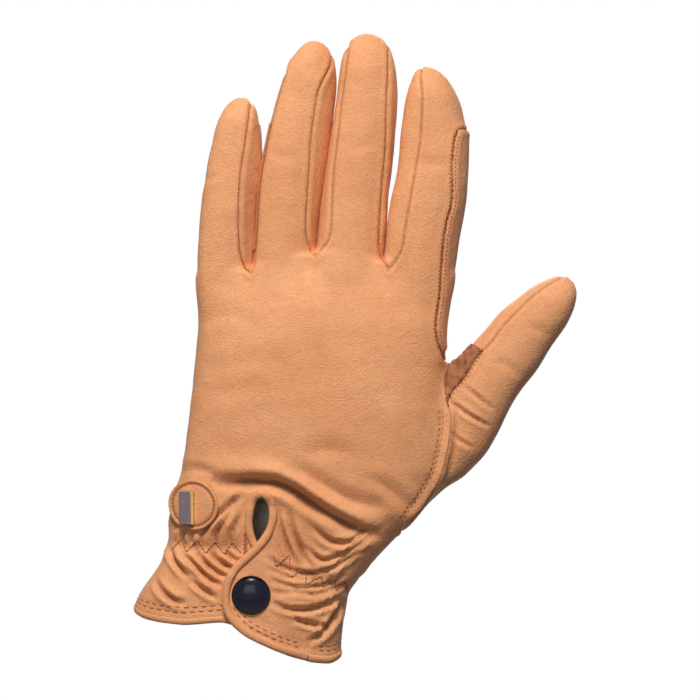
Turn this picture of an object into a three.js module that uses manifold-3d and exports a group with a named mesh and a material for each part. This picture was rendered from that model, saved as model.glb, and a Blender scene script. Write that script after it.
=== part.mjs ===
// A left-hand leather riding and driving glove, shown filled as if it were worn, fingers up.
// X runs across the hand towards the thumb, +Z along the middle finger, and -Y is the back of the hand.
// The origin is the middle of the wrist opening. All lengths are in millimetres.
//
// The glove is a leather skin round the space that a hand fills. Each skin panel is cut from a lofted shell:
// an outer loft less the same loft drawn in by the leather's thickness. Fingers and thumb are cut through at
// their creases, with room on the palm side for each joint to close.

import * as THREE from 'three';
import { mergeVertices } from 'three/addons/utils/BufferGeometryUtils.js';
import Module from 'manifold-3d';

const wasm = await Module();
wasm.setup();

// ---- driving dimensions ----

const LEATHER = 1.0; // glove leather's thickness
const GAP = 0.35; // between pieces that touch
const REACH = 30; // half the width of a cutter that has to pass right through a finger
const HINGE_Y = 1.5; // finger creases lie this far towards the palm
const PALM_FLAT = 15.8; // the palm is flat at this depth, where the glove lies on a table

const ROOT_FLEX = 75; // finger root, towards the palm
const ROOT_EXTEND = 15; // finger root, backwards
const MIDDLE_FLEX = 95; // finger's middle joint
const THUMB_FLEX = 40;
const THUMB_EXTEND = 10;
const THUMB_TIP_FLEX = 60;

// The hand's outline at each height: [z, left edge, right edge, half depth].
const HAND = [
  [-20, -40, 38.5, 17.5],
  [0, -40, 40.5, 17.5],
  [9, -39.5, 42.5, 17.2],
  [15, -36.5, 45, 17],
  [21, -32, 49, 16.7],
  [29, -28, 56, 16.4],
  [37, -26.8, 62.5, 16.2],
  [47, -25.8, 70, 16.3],
  [60, -22, 76, 16.3],
  [76, -19, 79.5, 16],
  [95, -17.5, 80, 15.2],
  [115, -15.5, 81, 14],
  [132, -15, 82.5, 11.8],
  [143, -15.2, 84, 9.9],
  [155, -15.2, 85.5, 9.4],
];
const HAND_POWER = 2.6; // superellipse exponent of the hand's cross-section
const FINGER_POWER = 2.2;
const KNUCKLE_LINE = [[-16, 141], [4.8, 138.3], [18, 143.5], [30, 145], [44, 145.5], [58.6, 139.6], [71, 141.5], [90, 141]];

// Each finger: the centre line from inside the hand to the start of the tip's dome as [x, z, half width],
// the dome's length, the half depth, the root joint, the distance from there to the middle joint, and the seams
// beside the back panel as shares of the half width. A side has no seam (null) where the skin runs round it.
const FINGERS = {
  little: {
    line: [[-6, 112, 8], [-5.2, 139, 9.6], [-4, 150, 9.9], [-2.6, 166, 10.2], [-0.9, 180, 9.9], [0.3, 189, 8.8]],
    dome: 15.5,
    depth: 8,
    root: [-5, 142],
    middle: 27,
    seams: [null, 0.4],
  },
  ring: {
    line: [[15, 112, 11], [17.8, 141, 11.1], [18.8, 150, 11.2], [20.8, 165, 11.5], [22.6, 178, 11.6],
      [25.3, 196, 11.2], [27.3, 207, 10.4]],
    dome: 18.5,
    depth: 9,
    root: [18.2, 147],
    middle: 36,
    seams: [-0.8, 0.5],
  },
  middle: {
    line: [[40.5, 112, 12], [43.8, 141, 12.2], [44.7, 150, 12.3], [46.2, 165, 12.2], [47.6, 178, 12],
      [49.5, 196, 11.4], [50.7, 209, 11]],
    dome: 20,
    depth: 9.5,
    root: [44.5, 149],
    middle: 38,
    seams: [-0.8, 0.78],
  },
  index: {
    line: [[68, 112, 12], [71, 141, 12.2], [72.4, 152, 12.6], [74.2, 165, 12.6], [75.6, 178, 12.4],
      [76.5, 190, 12.2], [76.7, 199, 11.4]],
    dome: 17,
    depth: 9.5,
    root: [71.3, 145],
    middle: 35,
    seams: [-0.5, null],
  },
};
const PALM_SEAM = 0.6; // seams beside the palm panels, as a share of the half width

// The thumb stands out of the hand's edge, a little towards the palm.
const THUMB = {
  line: [[62, 50, 12], [73, 63, 14], [83.5, 76.5, 14.8], [92.6, 89.3, 14.4], [101.5, 102, 12.8], [110, 113.4, 11.7],
    [118, 122, 10.6]],
  dome: 14,
  depth: 10.4,
  y: 5,
  root: [90.5, 86],
  knuckle: [108, 110.5],
  seam: -0.7,
};

const OUTSEAM = [[140, 92], [84, 92], [82.7, 81.8], [82.3, 75.5], [81.1, 69], [78.9, 60.2], [74.3, 52.2], [69.8, 46],
  [64, 38.5], [140, 38.5]]; // joins the back to the palm's leather, which comes round the ball of the thumb

const THENAR = [[140, 100], [79.5, 100], [66, 90], [59, 74], [60, 58], [65, 47], [70, 38.5],
  [140, 38.5]]; // joins the palm to the thumb's leather

const GUARD = { share: 0.66, foot: 106, top: 193, thickness: 0.8 }; // doubled strip on the index finger's outer side
const REIN_PATCH = { thickness: 0.5, gap: 0.2, top: 176, share: 0.9 }; // doubled leather between ring and little finger
const FORK_PATCH = [[79.6, 82], [77.5, 97], [84, 108.5], [97, 108], [91, 93]]; // in the fork of the thumb

// The wrist opening on the back is a keyhole. Its right-hand edge runs on as a flap over the left-hand edge.
const KEYHOLE = { x: 10, z: 42.5, halfWidth: 3.2, halfHeight: 9.6 };
const BINDING = 3.1; // width of the rolled edge round the keyhole and the flap
const FOLD = [[14.5, 52], [30, -20]]; // the line that the flap opens about
const FLAP_LIFT = 2.4; // from the leather under the flap to the flap
const FLAP_EDGE = [[14.2, 48.5], [13.4, 38], [8.2, 32], [3.6, 27.4], [-0.3, 23.9], [-2.7, 19.9], [-3.9, 15.2],
  [-3.7, 10.9], [-2.3, 7.4], [-0.3, 4.2], [3.6, 0.3], [9.2, -2.3], [15.8, -5.4], [26.4, -9]];
const FLAP_OPEN = 100;
const UNDER_EDGE = [[10.5, 34], [13.5, 27], [14.5, -30]]; // right-hand edge of the leather that the flap lies on
const MOUTH_LEFT = [[-60, 9], [-39.7, 8.1], [-30, 5.1], [-19.2, 4.2], [-4, 5.4], [6, 1.2], [16, -3]];
const MOUTH_RIGHT = [[16, -5.5], [23.1, -8.5], [36.2, -11.2], [60, -13]];
const MOUTH_PALM = [[-60, 10], [-39, 8.8], [-10, 5.8], [20, -6], [38, -10], [60, -12]];
const HEM = 5.5; // height of the turned hem

const SNAP = { x: 6.4, z: 15, cap: 7.5, post: 1.3, stud: 1.8, base: 4.3, socket: 5.2, bore: 2.6 };
const BADGE = { x: -15.8, z: 48.4, radius: 9.6, thickness: 1.2 };
const BAR = { x: -17.4, z: 47.4, width: 4.4, height: 12.6, thickness: 2 };
const ELASTIC = { height: 6, thickness: 0.8, left: [[-23, 32], [1, 31.5]], right: [[22, 27.5], [42, 19]] };

const RING_POINTS = 16;
const HAND_POINTS = 32;

const TAN = { color: '#c98a5b', roughness: 0.62, metalness: 0 };
const DARK_TAN = { color: '#8f5631', roughness: 0.85, metalness: 0 };
const NAVY = { color: '#0c0f26', roughness: 0.2, metalness: 0 };
const NICKEL = { color: '#a9a39a', roughness: 0.3, metalness: 1 };
const BRASS = { color: '#b89a6a', roughness: 0.3, metalness: 1 };
const WEBBING = { color: '#d8cfc0', roughness: 0.95, metalness: 0 };

// ---- solids ----

/** A manifold-3d solid from a closed geometry whose triangles face outwards. */
function solid(geometry, matrix = new THREE.Matrix4()) {
  const bare = geometry.index ? geometry.toNonIndexed() : geometry.clone();
  bare.deleteAttribute('normal');
  bare.deleteAttribute('uv');
  bare.applyMatrix4(matrix);
  const merged = mergeVertices(bare, 1e-3);
  const corners = merged.index.array;
  const triangles = [];
  for (let i = 0; i < corners.length; i += 3) {
    const [a, b, c] = corners.slice(i, i + 3);
    if (a !== b && b !== c && c !== a) triangles.push(a, b, c);
  }
  return new wasm.Manifold(new wasm.Mesh({
    numProp: 3,
    vertProperties: Float32Array.from(merged.attributes.position.array),
    triVerts: Uint32Array.from(triangles),
  }));
}

/** A closed skin through rings of equal length, with a flat fan over each end. */
function loft(rings) {
  const count = rings[0].length;
  const points = rings.flat();
  const middle = (ring) => ring.reduce((sum, p) => sum.add(p), new THREE.Vector3()).divideScalar(count);
  points.push(middle(rings[0]), middle(rings[rings.length - 1]));
  const index = [];
  for (let i = 0; i + 1 < rings.length; i++) {
    for (let j = 0; j < count; j++) {
      const a = i * count + j;
      const b = i * count + (j + 1) % count;
      index.push(a, b, b + count, a, b + count, a + count);
    }
  }
  const last = (rings.length - 1) * count;
  for (let j = 0; j < count; j++) {
    const next = (j + 1) % count;
    index.push(rings.length * count, next, j, rings.length * count + 1, last + j, last + next);
  }
  return solid(new THREE.BufferGeometry().setFromPoints(points).setIndex(index));
}

/** A superellipse about a centre, in the plane of Y and the sideways direction. */
function ring(centre, across, halfWidth, halfDepth, power, count) {
  const shape = (v) => Math.sign(v) * Math.abs(v) ** (2 / power);
  return Array.from({ length: count }, (_, i) => {
    const angle = (2 * Math.PI * i) / count;
    const point = centre.clone().addScaledVector(across, shape(Math.cos(angle)) * halfWidth);
    return point.setY(centre.y + shape(Math.sin(angle)) * halfDepth);
  });
}

/** The hand's loft, grown outwards by offset, with its flat palm. */
function handLoft(offset) {
  const right = new THREE.Vector3(1, 0, 0);
  const rings = HAND.map(([z, left, end, depth]) => ring(
    new THREE.Vector3((left + end) / 2, 0, z),
    right,
    (end - left) / 2 + offset,
    depth + offset,
    HAND_POWER,
    HAND_POINTS,
  ));
  for (const point of rings.flat()) point.y = Math.min(point.y, PALM_FLAT + offset);
  return loft(rings);
}

/** Centre, direction, sideways direction and half width at each station of a finger's line. */
function stations(finger) {
  const y = finger.y ?? 0;
  const points = finger.line.map(([x, z]) => new THREE.Vector3(x, y, z));
  return points.map((centre, i) => {
    const from = points[Math.max(i - 1, 0)];
    const to = points[Math.min(i + 1, points.length - 1)];
    const along = to.clone().sub(from).normalize();
    const across = new THREE.Vector3(along.z, 0, -along.x);
    return { centre, along, across, half: finger.line[i][2] };
  });
}

/** A finger's loft with a domed tip, grown outwards by offset. */
function fingerLoft(finger, offset) {
  const line = stations(finger);
  const depth = finger.depth + offset;
  const rings = line.map(({ centre, across, half }) => (
    ring(centre, across, half + offset, depth, FINGER_POWER, RING_POINTS)));
  const end = line[line.length - 1];
  for (const degrees of [28, 52, 71, 84]) {
    const turn = THREE.MathUtils.degToRad(degrees);
    const centre = end.centre.clone().addScaledVector(end.along, (finger.dome + offset) * Math.sin(turn));
    const share = Math.cos(turn);
    rings.push(ring(centre, end.across, (end.half + offset) * share, depth * share, FINGER_POWER, RING_POINTS));
  }
  return loft(rings);
}

/** A front-view outline of [x, z] points, as a prism from y = near to y = far. */
function prism(outline, near, far) {
  const shape = new THREE.Shape(outline.map(([x, z]) => new THREE.Vector2(x, z)));
  const geometry = new THREE.ExtrudeGeometry(shape, { depth: far - near, bevelEnabled: false });
  const place = new THREE.Matrix4().makeRotationX(Math.PI / 2);
  return solid(geometry, place.setPosition(0, far, 0));
}

function ellipse(x, z, halfWidth, halfHeight, count = 28) {
  return Array.from({ length: count }, (_, i) => {
    const angle = (2 * Math.PI * i) / count;
    return [x + halfWidth * Math.cos(angle), z + halfHeight * Math.sin(angle)];
  });
}

/** A front-view line of [x, z] points moved sideways, to the right of its direction. */
function moved(line, distance) {
  return line.map(([x, z], i) => {
    const [x0, z0] = line[Math.max(i - 1, 0)];
    const [x1, z1] = line[Math.min(i + 1, line.length - 1)];
    const length = Math.hypot(x1 - x0, z1 - z0);
    return [x + ((z1 - z0) / length) * distance, z - ((x1 - x0) / length) * distance];
  });
}

/** A solid of revolution about a line along Y. profile is [radius, y] points. */
function turned(x, z, profile) {
  const geometry = new THREE.LatheGeometry(profile.map(([r, y]) => new THREE.Vector2(r, y)), 24);
  return solid(geometry, new THREE.Matrix4().setPosition(x, 0, z));
}

/** The skin between two offsets of the hand's loft. */
function skin(outer, inner) {
  return handLoft(outer).subtract(handLoft(inner));
}

/** The largest body of a solid: a boolean can leave slivers beside it. */
function largest(made) {
  return made.decompose().reduce((a, b) => (a.volume() > b.volume() ? a : b));
}

// ---- joints ----

/** A joint's hinge point, the direction of the finger beyond it, and sideways. */
function joint([x, z], [tipX, tipZ], y) {
  const along = new THREE.Vector3(tipX - x, 0, tipZ - z).normalize();
  return { at: new THREE.Vector3(x, y, z), along, across: new THREE.Vector3(along.z, 0, -along.x) };
}

/** A cutter beside a joint. profile is [y, s] points: y from the hinge, s along the finger beyond it. */
function jointCutter({ at, along, across }, profile, halfWidth) {
  const shape = new THREE.Shape(profile.map(([y, s]) => new THREE.Vector2(y, s)));
  const geometry = new THREE.ExtrudeGeometry(shape, { depth: 2 * halfWidth, bevelEnabled: false });
  const place = new THREE.Matrix4().makeBasis(new THREE.Vector3(0, 1, 0), along, across);
  return solid(geometry, place.setPosition(at.clone().addScaledVector(across, -halfWidth)));
}

const BACK_Y = -28; // ends of the joint cutters
const PALM_Y = 15;

/** How far an edge is set back from a joint at distance y from the hinge, so that the joint can close. */
function setBack(y, closing) {
  return Math.abs(y) * Math.tan(THREE.MathUtils.degToRad(closing / 2)) + GAP / 2;
}

/** What may lie beyond a joint that closes by flex towards the palm and by extend backwards. */
function beyond(hinge, flex, extend) {
  return jointCutter(hinge, [
    [BACK_Y, setBack(BACK_Y, extend)], [0, GAP / 2], [PALM_Y, setBack(PALM_Y, flex)], [PALM_Y, 95], [BACK_Y, 95],
  ], REACH);
}

/** What has to be clear of the finger before that joint, over the width that the moving part sweeps. */
function swept(hinge, flex, extend, halfWidth = REACH) {
  return jointCutter(hinge, [
    [BACK_Y, -setBack(BACK_Y, extend)], [0, -GAP / 2], [PALM_Y, -setBack(PALM_Y, flex)], [PALM_Y, 95], [BACK_Y, 95],
  ], halfWidth);
}

/** Root and middle joint of a finger. */
function jointsOf(finger) {
  const line = stations(finger);
  const end = line[line.length - 1];
  const tip = end.centre.clone().addScaledVector(end.along, finger.dome);
  const aim = line[3].centre.clone().sub(line[2].centre).normalize();
  const [x, z] = finger.root;
  const knuckle = [x + aim.x * finger.middle, z + aim.z * finger.middle];
  return { root: joint([x, z], knuckle, HINGE_Y), middle: joint(knuckle, [tip.x, tip.z], HINGE_Y) };
}

// ---- finger panels ----

/** A panel's front-view region between two seams, each a share of the half width or null for an open side. */
function panelOutline(finger, seams, grow) {
  const open = 1.6;
  const line = stations(finger);
  const side = (share, sign) => line.map(({ centre, across, half }) => {
    const reach = share === null ? sign * open * half : share * half + sign * grow;
    return [centre.x + across.x * reach, centre.z + across.z * reach];
  });
  const end = line[line.length - 1];
  const top = (sign) => [3 - grow, finger.dome + 6].map((s) => [
    end.centre.x + end.along.x * s + sign * open * end.half * end.across.x,
    end.centre.z + end.along.z * s + sign * open * end.half * end.across.z,
  ]);
  return [...side(seams[0], -1), ...top(-1), ...top(1).reverse(), ...side(seams[1], 1).reverse()];
}

/** One side of a finger, left (-1) or right (+1) of a line at a share of its half width. */
function sideOf(finger, sign, share) {
  const line = stations(finger);
  const at = (reach) => line.map(({ centre, across, half }) => (
    [centre.x + reach * half * across.x, centre.z + reach * half * across.z]));
  return prism([...at(share), ...at(sign * 2.5).reverse()], -40, 40);
}

/** Cuts a finger's shell into its back, its palm, and a fourchette down each side that has seams. */
function fingerPanels(finger, shell) {
  const [left, right] = finger.seams;
  const palmSeams = [left === null ? null : -PALM_SEAM, right === null ? null : PALM_SEAM];
  const region = (seams, near, far, grow) => prism(panelOutline(finger, seams, grow), near, far);
  const rest = shell
    .subtract(region(finger.seams, -40, GAP / 2, GAP))
    .subtract(region(palmSeams, -GAP / 2, 40, GAP));
  const panels = {
    back: shell.intersect(region(finger.seams, -40, -GAP / 2, 0)),
    palm: shell.intersect(region(palmSeams, GAP / 2, 40, 0)),
  };
  if (left !== null) panels.fourchette_outer = rest.intersect(sideOf(finger, -1, 0));
  if (right !== null) panels.fourchette_inner = rest.intersect(sideOf(finger, 1, 0));
  return panels;
}

// ---- the pieces ----

const pieces = {}; // node name: its solid and its look

function add(name, made, look) {
  pieces[name] = { made: largest(made), look };
}

let handOuter = handLoft(0).intersect(prism([[-60, -40], ...KNUCKLE_LINE, [90, -40]], -40, 40));
let handInner = handLoft(-LEATHER)
  .intersect(prism([[-60, -40], ...KNUCKLE_LINE.map(([x, z]) => [x, z - LEATHER]), [90, -40]], -40, 40));
const sweeps = [];
const lower = (z, top) => prism([[-60, z], [160, z], [160, top], [-60, top]], -40, 40); // a level band

for (const [name, finger] of Object.entries(FINGERS)) {
  const { root, middle } = jointsOf(finger);
  const outer = fingerLoft(finger, 0);
  const inner = fingerLoft(finger, -LEATHER);
  const shell = outer.subtract(inner);
  const rootSweep = swept(root, ROOT_FLEX, ROOT_EXTEND);
  const base = beyond(root, ROOT_FLEX, ROOT_EXTEND).subtract(swept(middle, MIDDLE_FLEX, 0));
  const tip = beyond(middle, MIDDLE_FLEX, 0);
  for (const [panel, made] of Object.entries(fingerPanels(finger, shell))) {
    add(`${name}_base_${panel}`, made.intersect(base), TAN);
    add(`${name}_tip_${panel}`, made.intersect(tip), TAN);
  }
  if (name === 'index') {
    const doubled = fingerLoft(finger, GAP + GUARD.thickness).subtract(fingerLoft(finger, GAP));
    const strip = doubled.intersect(sideOf(finger, 1, GUARD.share)).intersect(lower(100, GUARD.top));
    add('index_base_guard', strip.intersect(base), DARK_TAN);
    add('index_tip_guard', strip.intersect(tip), DARK_TAN);
  }
  if (name === 'ring' || name === 'little') {
    const { thickness, gap, share } = REIN_PATCH;
    const sign = name === 'ring' ? -1 : 1;
    const doubled = fingerLoft(finger, gap + thickness).subtract(fingerLoft(finger, gap));
    const strip = doubled.intersect(sideOf(finger, sign, sign * share)).intersect(lower(100, REIN_PATCH.top));
    add(`${name}_base_rein_patch`, strip.intersect(base), DARK_TAN);
  }
  handOuter = handOuter.add(outer.subtract(rootSweep));
  handInner = handInner.add(inner);
  sweeps.push(swept(root, ROOT_FLEX, ROOT_EXTEND, finger.line[2][2] + GAP + 0.8));
}

// thumb

const thumbEnd = stations(THUMB)[THUMB.line.length - 1];
const thumbTip = thumbEnd.centre.clone().addScaledVector(thumbEnd.along, THUMB.dome);
const thumbRoot = joint(THUMB.root, THUMB.knuckle, THUMB.y + 1);
const thumbMiddle = joint(THUMB.knuckle, [thumbTip.x, thumbTip.z], THUMB.y + 1);
const thumbOuter = fingerLoft(THUMB, 0);
const thumbInner = fingerLoft(THUMB, -LEATHER);
const thumbShell = thumbOuter.subtract(thumbInner);
const thumbBase = beyond(thumbRoot, THUMB_FLEX, THUMB_EXTEND).subtract(swept(thumbMiddle, THUMB_TIP_FLEX, 0));
const thumbBeyond = beyond(thumbMiddle, THUMB_TIP_FLEX, 0);
const thumbFront = (grow) => prism(panelOutline(THUMB, [THUMB.seam, null], grow), -40, THUMB.y + grow);
const thumbPanels = { outer: thumbShell.intersect(thumbFront(0)), inner: thumbShell.subtract(thumbFront(GAP)) };
for (const [panel, made] of Object.entries(thumbPanels)) {
  add(`thumb_base_${panel}`, made.intersect(thumbBase), TAN);
  add(`thumb_tip_${panel}`, made.intersect(thumbBeyond), TAN);
}
handOuter = handOuter.add(thumbOuter.subtract(swept(thumbRoot, THUMB_FLEX, THUMB_EXTEND)));
handInner = handInner.add(thumbInner);
sweeps.push(swept(thumbRoot, THUMB_FLEX, THUMB_EXTEND, THUMB.line[2][2] + GAP));

// hand

const handShell = sweeps.reduce((made, sweep) => made.subtract(sweep), handOuter.subtract(handInner));
const halfOf = (near, far) => prism([[-60, -60], [160, -60], [160, 160], [-60, 160]], near, far);
const backHalf = halfOf(-40, -GAP / 2);
const palmHalf = halfOf(GAP / 2, 40);
const below = (mouth) => prism([...mouth, [mouth[mouth.length - 1][0], -60], [mouth[0][0], -60]], -40, 40);
const backSide = (grow) => prism(OUTSEAM.map(([x, z]) => [x - grow, z]), -40, 0.1);
const slit = prism([...UNDER_EDGE, [30 + GAP, -30], ...moved(FOLD, GAP).reverse()], -40, 0);
const keyholeRing = (grow) => ellipse(KEYHOLE.x, KEYHOLE.z, KEYHOLE.halfWidth + grow, KEYHOLE.halfHeight + grow);
const wristCuts = prism(keyholeRing(BINDING + GAP), -40, 0).add(slit).add(below(MOUTH_LEFT)).add(below(MOUTH_RIGHT));
add('hand_back', handShell.intersect(backHalf).subtract(backSide(GAP)).subtract(wristCuts), TAN);
const ballOfThumb = (grow) => prism(THENAR.map(([x, z]) => [x - grow, z]), GAP / 2, 40);
const mouthPalm = below(MOUTH_PALM);
add('hand_palm', handShell.intersect(palmHalf).subtract(ballOfThumb(GAP)).subtract(mouthPalm), TAN);
const joined = prism([[62, 38.5], [140, 38.5], [140, 160], [62, 160]], -GAP, GAP);
const thumbHeel = ballOfThumb(0).add(backSide(0)).add(joined.intersect(backSide(0).add(prism(OUTSEAM, 0, 1))));
add('thumb_heel', handShell.intersect(thumbHeel), TAN);

// the patches on the hand

const indexLoft = (offset) => fingerLoft(FINGERS.index, offset);
const guardSkin = handLoft(GAP + GUARD.thickness).add(indexLoft(GAP + GUARD.thickness))
  .subtract(handLoft(GAP).add(indexLoft(GAP)));
const guardFoot = guardSkin
  .intersect(prism([[77.6, GUARD.foot], [100, GUARD.foot], [100, 150], [79.8, 150], [78.9, 128]], -40, 5));
add('hand_guard', guardFoot.subtract(swept(jointsOf(FINGERS.index).root, ROOT_FLEX, ROOT_EXTEND)), DARK_TAN);
const forkSkin = handLoft(GAP + 0.7).add(fingerLoft(THUMB, GAP + 0.7))
  .subtract(handLoft(GAP).add(fingerLoft(THUMB, GAP)));
const forkPatch = forkSkin.intersect(prism(FORK_PATCH, -40, 4));
add('thumb_fork_patch', forkPatch.subtract(sweeps[sweeps.length - 1]).subtract(lower(104, 150)), DARK_TAN);

// keyhole, flap and hems

const leftOfFold = prism([[-60, 60], ...moved(FOLD, -GAP / 2), [-60, -20]], -40, 0);
const flapSide = prism([...FLAP_EDGE, [30, -10.2], [30, 60]], -40, 0).intersect(leftOfFold);
const flapInset = moved(FLAP_EDGE, -(BINDING + GAP));
const flapMiddle = prism([...flapInset, [34, -30], [34, 60]], -40, 0).intersect(leftOfFold);
const bindingInset = moved(FLAP_EDGE, -BINDING);
const flapRim = flapSide.subtract(prism([...bindingInset, [34, -30], [34, 60]], -40, 0));
const flapSkin = skin(FLAP_LIFT + LEATHER, FLAP_LIFT);
const postHole = turned(SNAP.x, SNAP.z, [[0, -40], [SNAP.post + 0.3, -40], [SNAP.post + 0.3, 0], [0, 0]]);
add('flap_leather', flapSkin.intersect(flapMiddle).subtract(postHole), TAN);
add('flap_binding', skin(FLAP_LIFT + LEATHER + 0.5, FLAP_LIFT - 0.5).intersect(flapRim), TAN);
const keyholeRim = prism(keyholeRing(BINDING), -40, 0).subtract(prism(keyholeRing(0), -40, 0));
const rimClear = flapSide.add(slit).add(prism([[10, 34], [40, 34], [40, 20], [10, 20]], -40, 0));
add('keyhole_binding', skin(0.5, -LEATHER - 0.5).intersect(keyholeRim).subtract(rimClear), TAN);

const facing = skin(-LEATHER - GAP, -2 * LEATHER - GAP);
const band = (mouth, low, high) => prism([...mouth.map(([x, z]) => [x, z + low]),
  ...mouth.map(([x, z]) => [x, z + high]).reverse()], -40, 40);
const hemOf = (mouth) => facing.intersect(band(mouth, 0, HEM));
const backOnly = (made) => made.intersect(halfOf(-40, -GAP / 2));
add('hem_back_left', backOnly(hemOf(MOUTH_LEFT)).subtract(slit), TAN);
const rightOfFold = prism([...moved(FOLD, GAP), [100, -20], [100, 52]], -40, 0);
add('hem_back_right', backOnly(hemOf(MOUTH_RIGHT)).intersect(rightOfFold), TAN);
add('hem_palm', hemOf(MOUTH_PALM).intersect(palmHalf), TAN);

const elasticSkin = skin(-LEATHER - GAP, -LEATHER - GAP - ELASTIC.thickness);
const elasticOf = (line) => elasticSkin
  .intersect(band(line, -ELASTIC.height / 2, ELASTIC.height / 2)).intersect(backHalf);
add('elastic_left', elasticOf(ELASTIC.left), WEBBING);
add('elastic_right', elasticOf(ELASTIC.right), WEBBING);

// press stud

const backY = -16.9; // the leather's outer face at the stud
const flapY = backY - FLAP_LIFT;
const capShape = [[0, flapY - 4.6], [2.6, flapY - 4.5], [5, flapY - 4], [6.8, flapY - 3.1], [SNAP.cap, flapY - 2.1],
  [SNAP.cap, flapY], [0, flapY]];
const cap = turned(SNAP.x, SNAP.z, capShape).subtract(handLoft(FLAP_LIFT + LEATHER + 0.6));
add('snap_cap', cap, NAVY);
const post = turned(SNAP.x, SNAP.z, [[0, -40], [SNAP.post, -40], [SNAP.post, 0], [0, 0]]);
add('snap_post', post.intersect(skin(FLAP_LIFT + LEATHER + 0.59, FLAP_LIFT - 0.06)), NICKEL);
const socket = turned(SNAP.x, SNAP.z, [[0, -40], [SNAP.socket, -40], [SNAP.socket, 0], [0, 0]])
  .subtract(turned(SNAP.x, SNAP.z, [[0, -40], [SNAP.bore, -40], [SNAP.bore, 0], [0, 0]]));
add('snap_socket', socket.intersect(skin(FLAP_LIFT - 0.07, FLAP_LIFT - 1.4)), NICKEL);
const stud = turned(SNAP.x, SNAP.z, [[0, -40], [SNAP.stud, -40], [SNAP.stud, 0], [0, 0]]).intersect(skin(1.9, 0.1))
  .add(turned(SNAP.x, SNAP.z, [[0, -40], [SNAP.base, -40], [SNAP.base, 0], [0, 0]]).intersect(skin(0.6, 0.1)));
add('snap_stud', stud, NICKEL);

// badge

const badgeRound = prism(ellipse(BADGE.x, BADGE.z, BADGE.radius, BADGE.radius, 36), -40, -GAP);
add('badge_disc', skin(GAP + BADGE.thickness, GAP).intersect(badgeRound), TAN);
const barBox = new THREE.BoxGeometry(BAR.width, 4, BAR.height);
const barTurn = new THREE.Matrix4().makeRotationZ(THREE.MathUtils.degToRad(-24));
const bar = solid(barBox, barTurn.setPosition(BAR.x, -14.6, BAR.z)).subtract(handLoft(GAP + BADGE.thickness + 0.1));
add('badge_bar', bar, BRASS);

const group = new THREE.Group();
group.name = 'left_driving_glove';
for (const [name, { made, look }] of Object.entries(pieces)) {
  const mesh = made.getMesh();
  const geometry = new THREE.BufferGeometry();
  geometry.setAttribute('position', new THREE.BufferAttribute(Float32Array.from(mesh.vertProperties), 3));
  geometry.setIndex(new THREE.BufferAttribute(Uint32Array.from(mesh.triVerts), 1));
  const flat = geometry.toNonIndexed();
  flat.computeVertexNormals();
  const piece = new THREE.Mesh(flat, new THREE.MeshStandardMaterial(look));
  piece.name = name;
  group.add(piece);
}

export default group;
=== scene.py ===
# Looks for a left-hand leather riding and driving glove, filled as if it were worn.
#
# The skin is one closed surface round the space that a hand fills. It is made from a field (hand, fingers and
# thumb blended together), then cut along the seams into panels, creased, and given its thickness.
# X runs across the hand towards the thumb, Z along the fingers, and -Y out of the back of the hand.
# Numbers are in mm until a mesh is made. The frame's own positions are in metres.

import math

import bmesh
import bpy
import numpy as np
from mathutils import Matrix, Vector
from mathutils.bvhtree import BVHTree


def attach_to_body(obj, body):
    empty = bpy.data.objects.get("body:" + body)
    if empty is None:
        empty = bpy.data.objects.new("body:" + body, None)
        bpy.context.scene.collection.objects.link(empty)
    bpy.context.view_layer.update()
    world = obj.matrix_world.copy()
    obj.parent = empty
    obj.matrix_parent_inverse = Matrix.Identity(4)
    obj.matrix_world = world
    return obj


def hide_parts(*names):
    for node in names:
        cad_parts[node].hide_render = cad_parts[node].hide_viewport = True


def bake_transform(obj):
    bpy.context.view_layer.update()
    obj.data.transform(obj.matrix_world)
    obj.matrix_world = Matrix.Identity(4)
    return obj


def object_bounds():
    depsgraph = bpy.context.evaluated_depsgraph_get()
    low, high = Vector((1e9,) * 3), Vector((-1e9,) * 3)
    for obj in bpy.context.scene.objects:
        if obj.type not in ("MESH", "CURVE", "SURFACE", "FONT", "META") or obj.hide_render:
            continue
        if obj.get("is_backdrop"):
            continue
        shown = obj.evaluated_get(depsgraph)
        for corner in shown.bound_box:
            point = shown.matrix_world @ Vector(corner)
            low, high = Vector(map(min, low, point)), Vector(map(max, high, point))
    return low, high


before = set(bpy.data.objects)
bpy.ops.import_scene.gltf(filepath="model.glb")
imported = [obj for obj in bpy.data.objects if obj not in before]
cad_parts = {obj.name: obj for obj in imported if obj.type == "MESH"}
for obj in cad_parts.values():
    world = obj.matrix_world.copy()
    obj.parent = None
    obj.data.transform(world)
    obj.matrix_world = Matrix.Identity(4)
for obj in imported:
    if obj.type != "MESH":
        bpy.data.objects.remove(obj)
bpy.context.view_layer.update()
MM = 0.001


# ---------------------------------------------------------------- shape

CELL = 1.0  # grid of the field
SKIN = 1.1  # leather thickness

# Hand outline at each height: left edge, right edge, depth to the back, depth to the palm.
HAND = np.array([
    [-24, -38.5, 39.0, 17.6, 15.6],
    [-10, -40.0, 40.0, 17.6, 15.6],
    [0, -40.0, 41.0, 17.5, 15.6],
    [9, -39.4, 42.2, 17.2, 15.5],
    [15, -36.6, 44.8, 16.9, 15.2],
    [21, -32.2, 49.0, 16.4, 14.8],
    [27, -28.8, 54.0, 16.0, 14.5],
    [35, -26.8, 61.5, 15.8, 14.8],
    [44, -26.2, 70.5, 16.2, 15.3],
    [52, -25.0, 74.5, 16.2, 15.5],
    [60, -22.0, 77.0, 16.2, 15.6],
    [76, -19.3, 79.4, 16.0, 15.6],
    [95, -17.3, 80.0, 15.4, 14.8],
    [115, -15.2, 81.0, 14.0, 13.6],
    [128, -14.6, 82.0, 11.6, 11.8],
    [140, -15.0, 83.4, 8.6, 9.4],
    [150, -15.0, 85.0, 7.2, 8.0],
])
HAND_POWER = 2.6

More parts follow.
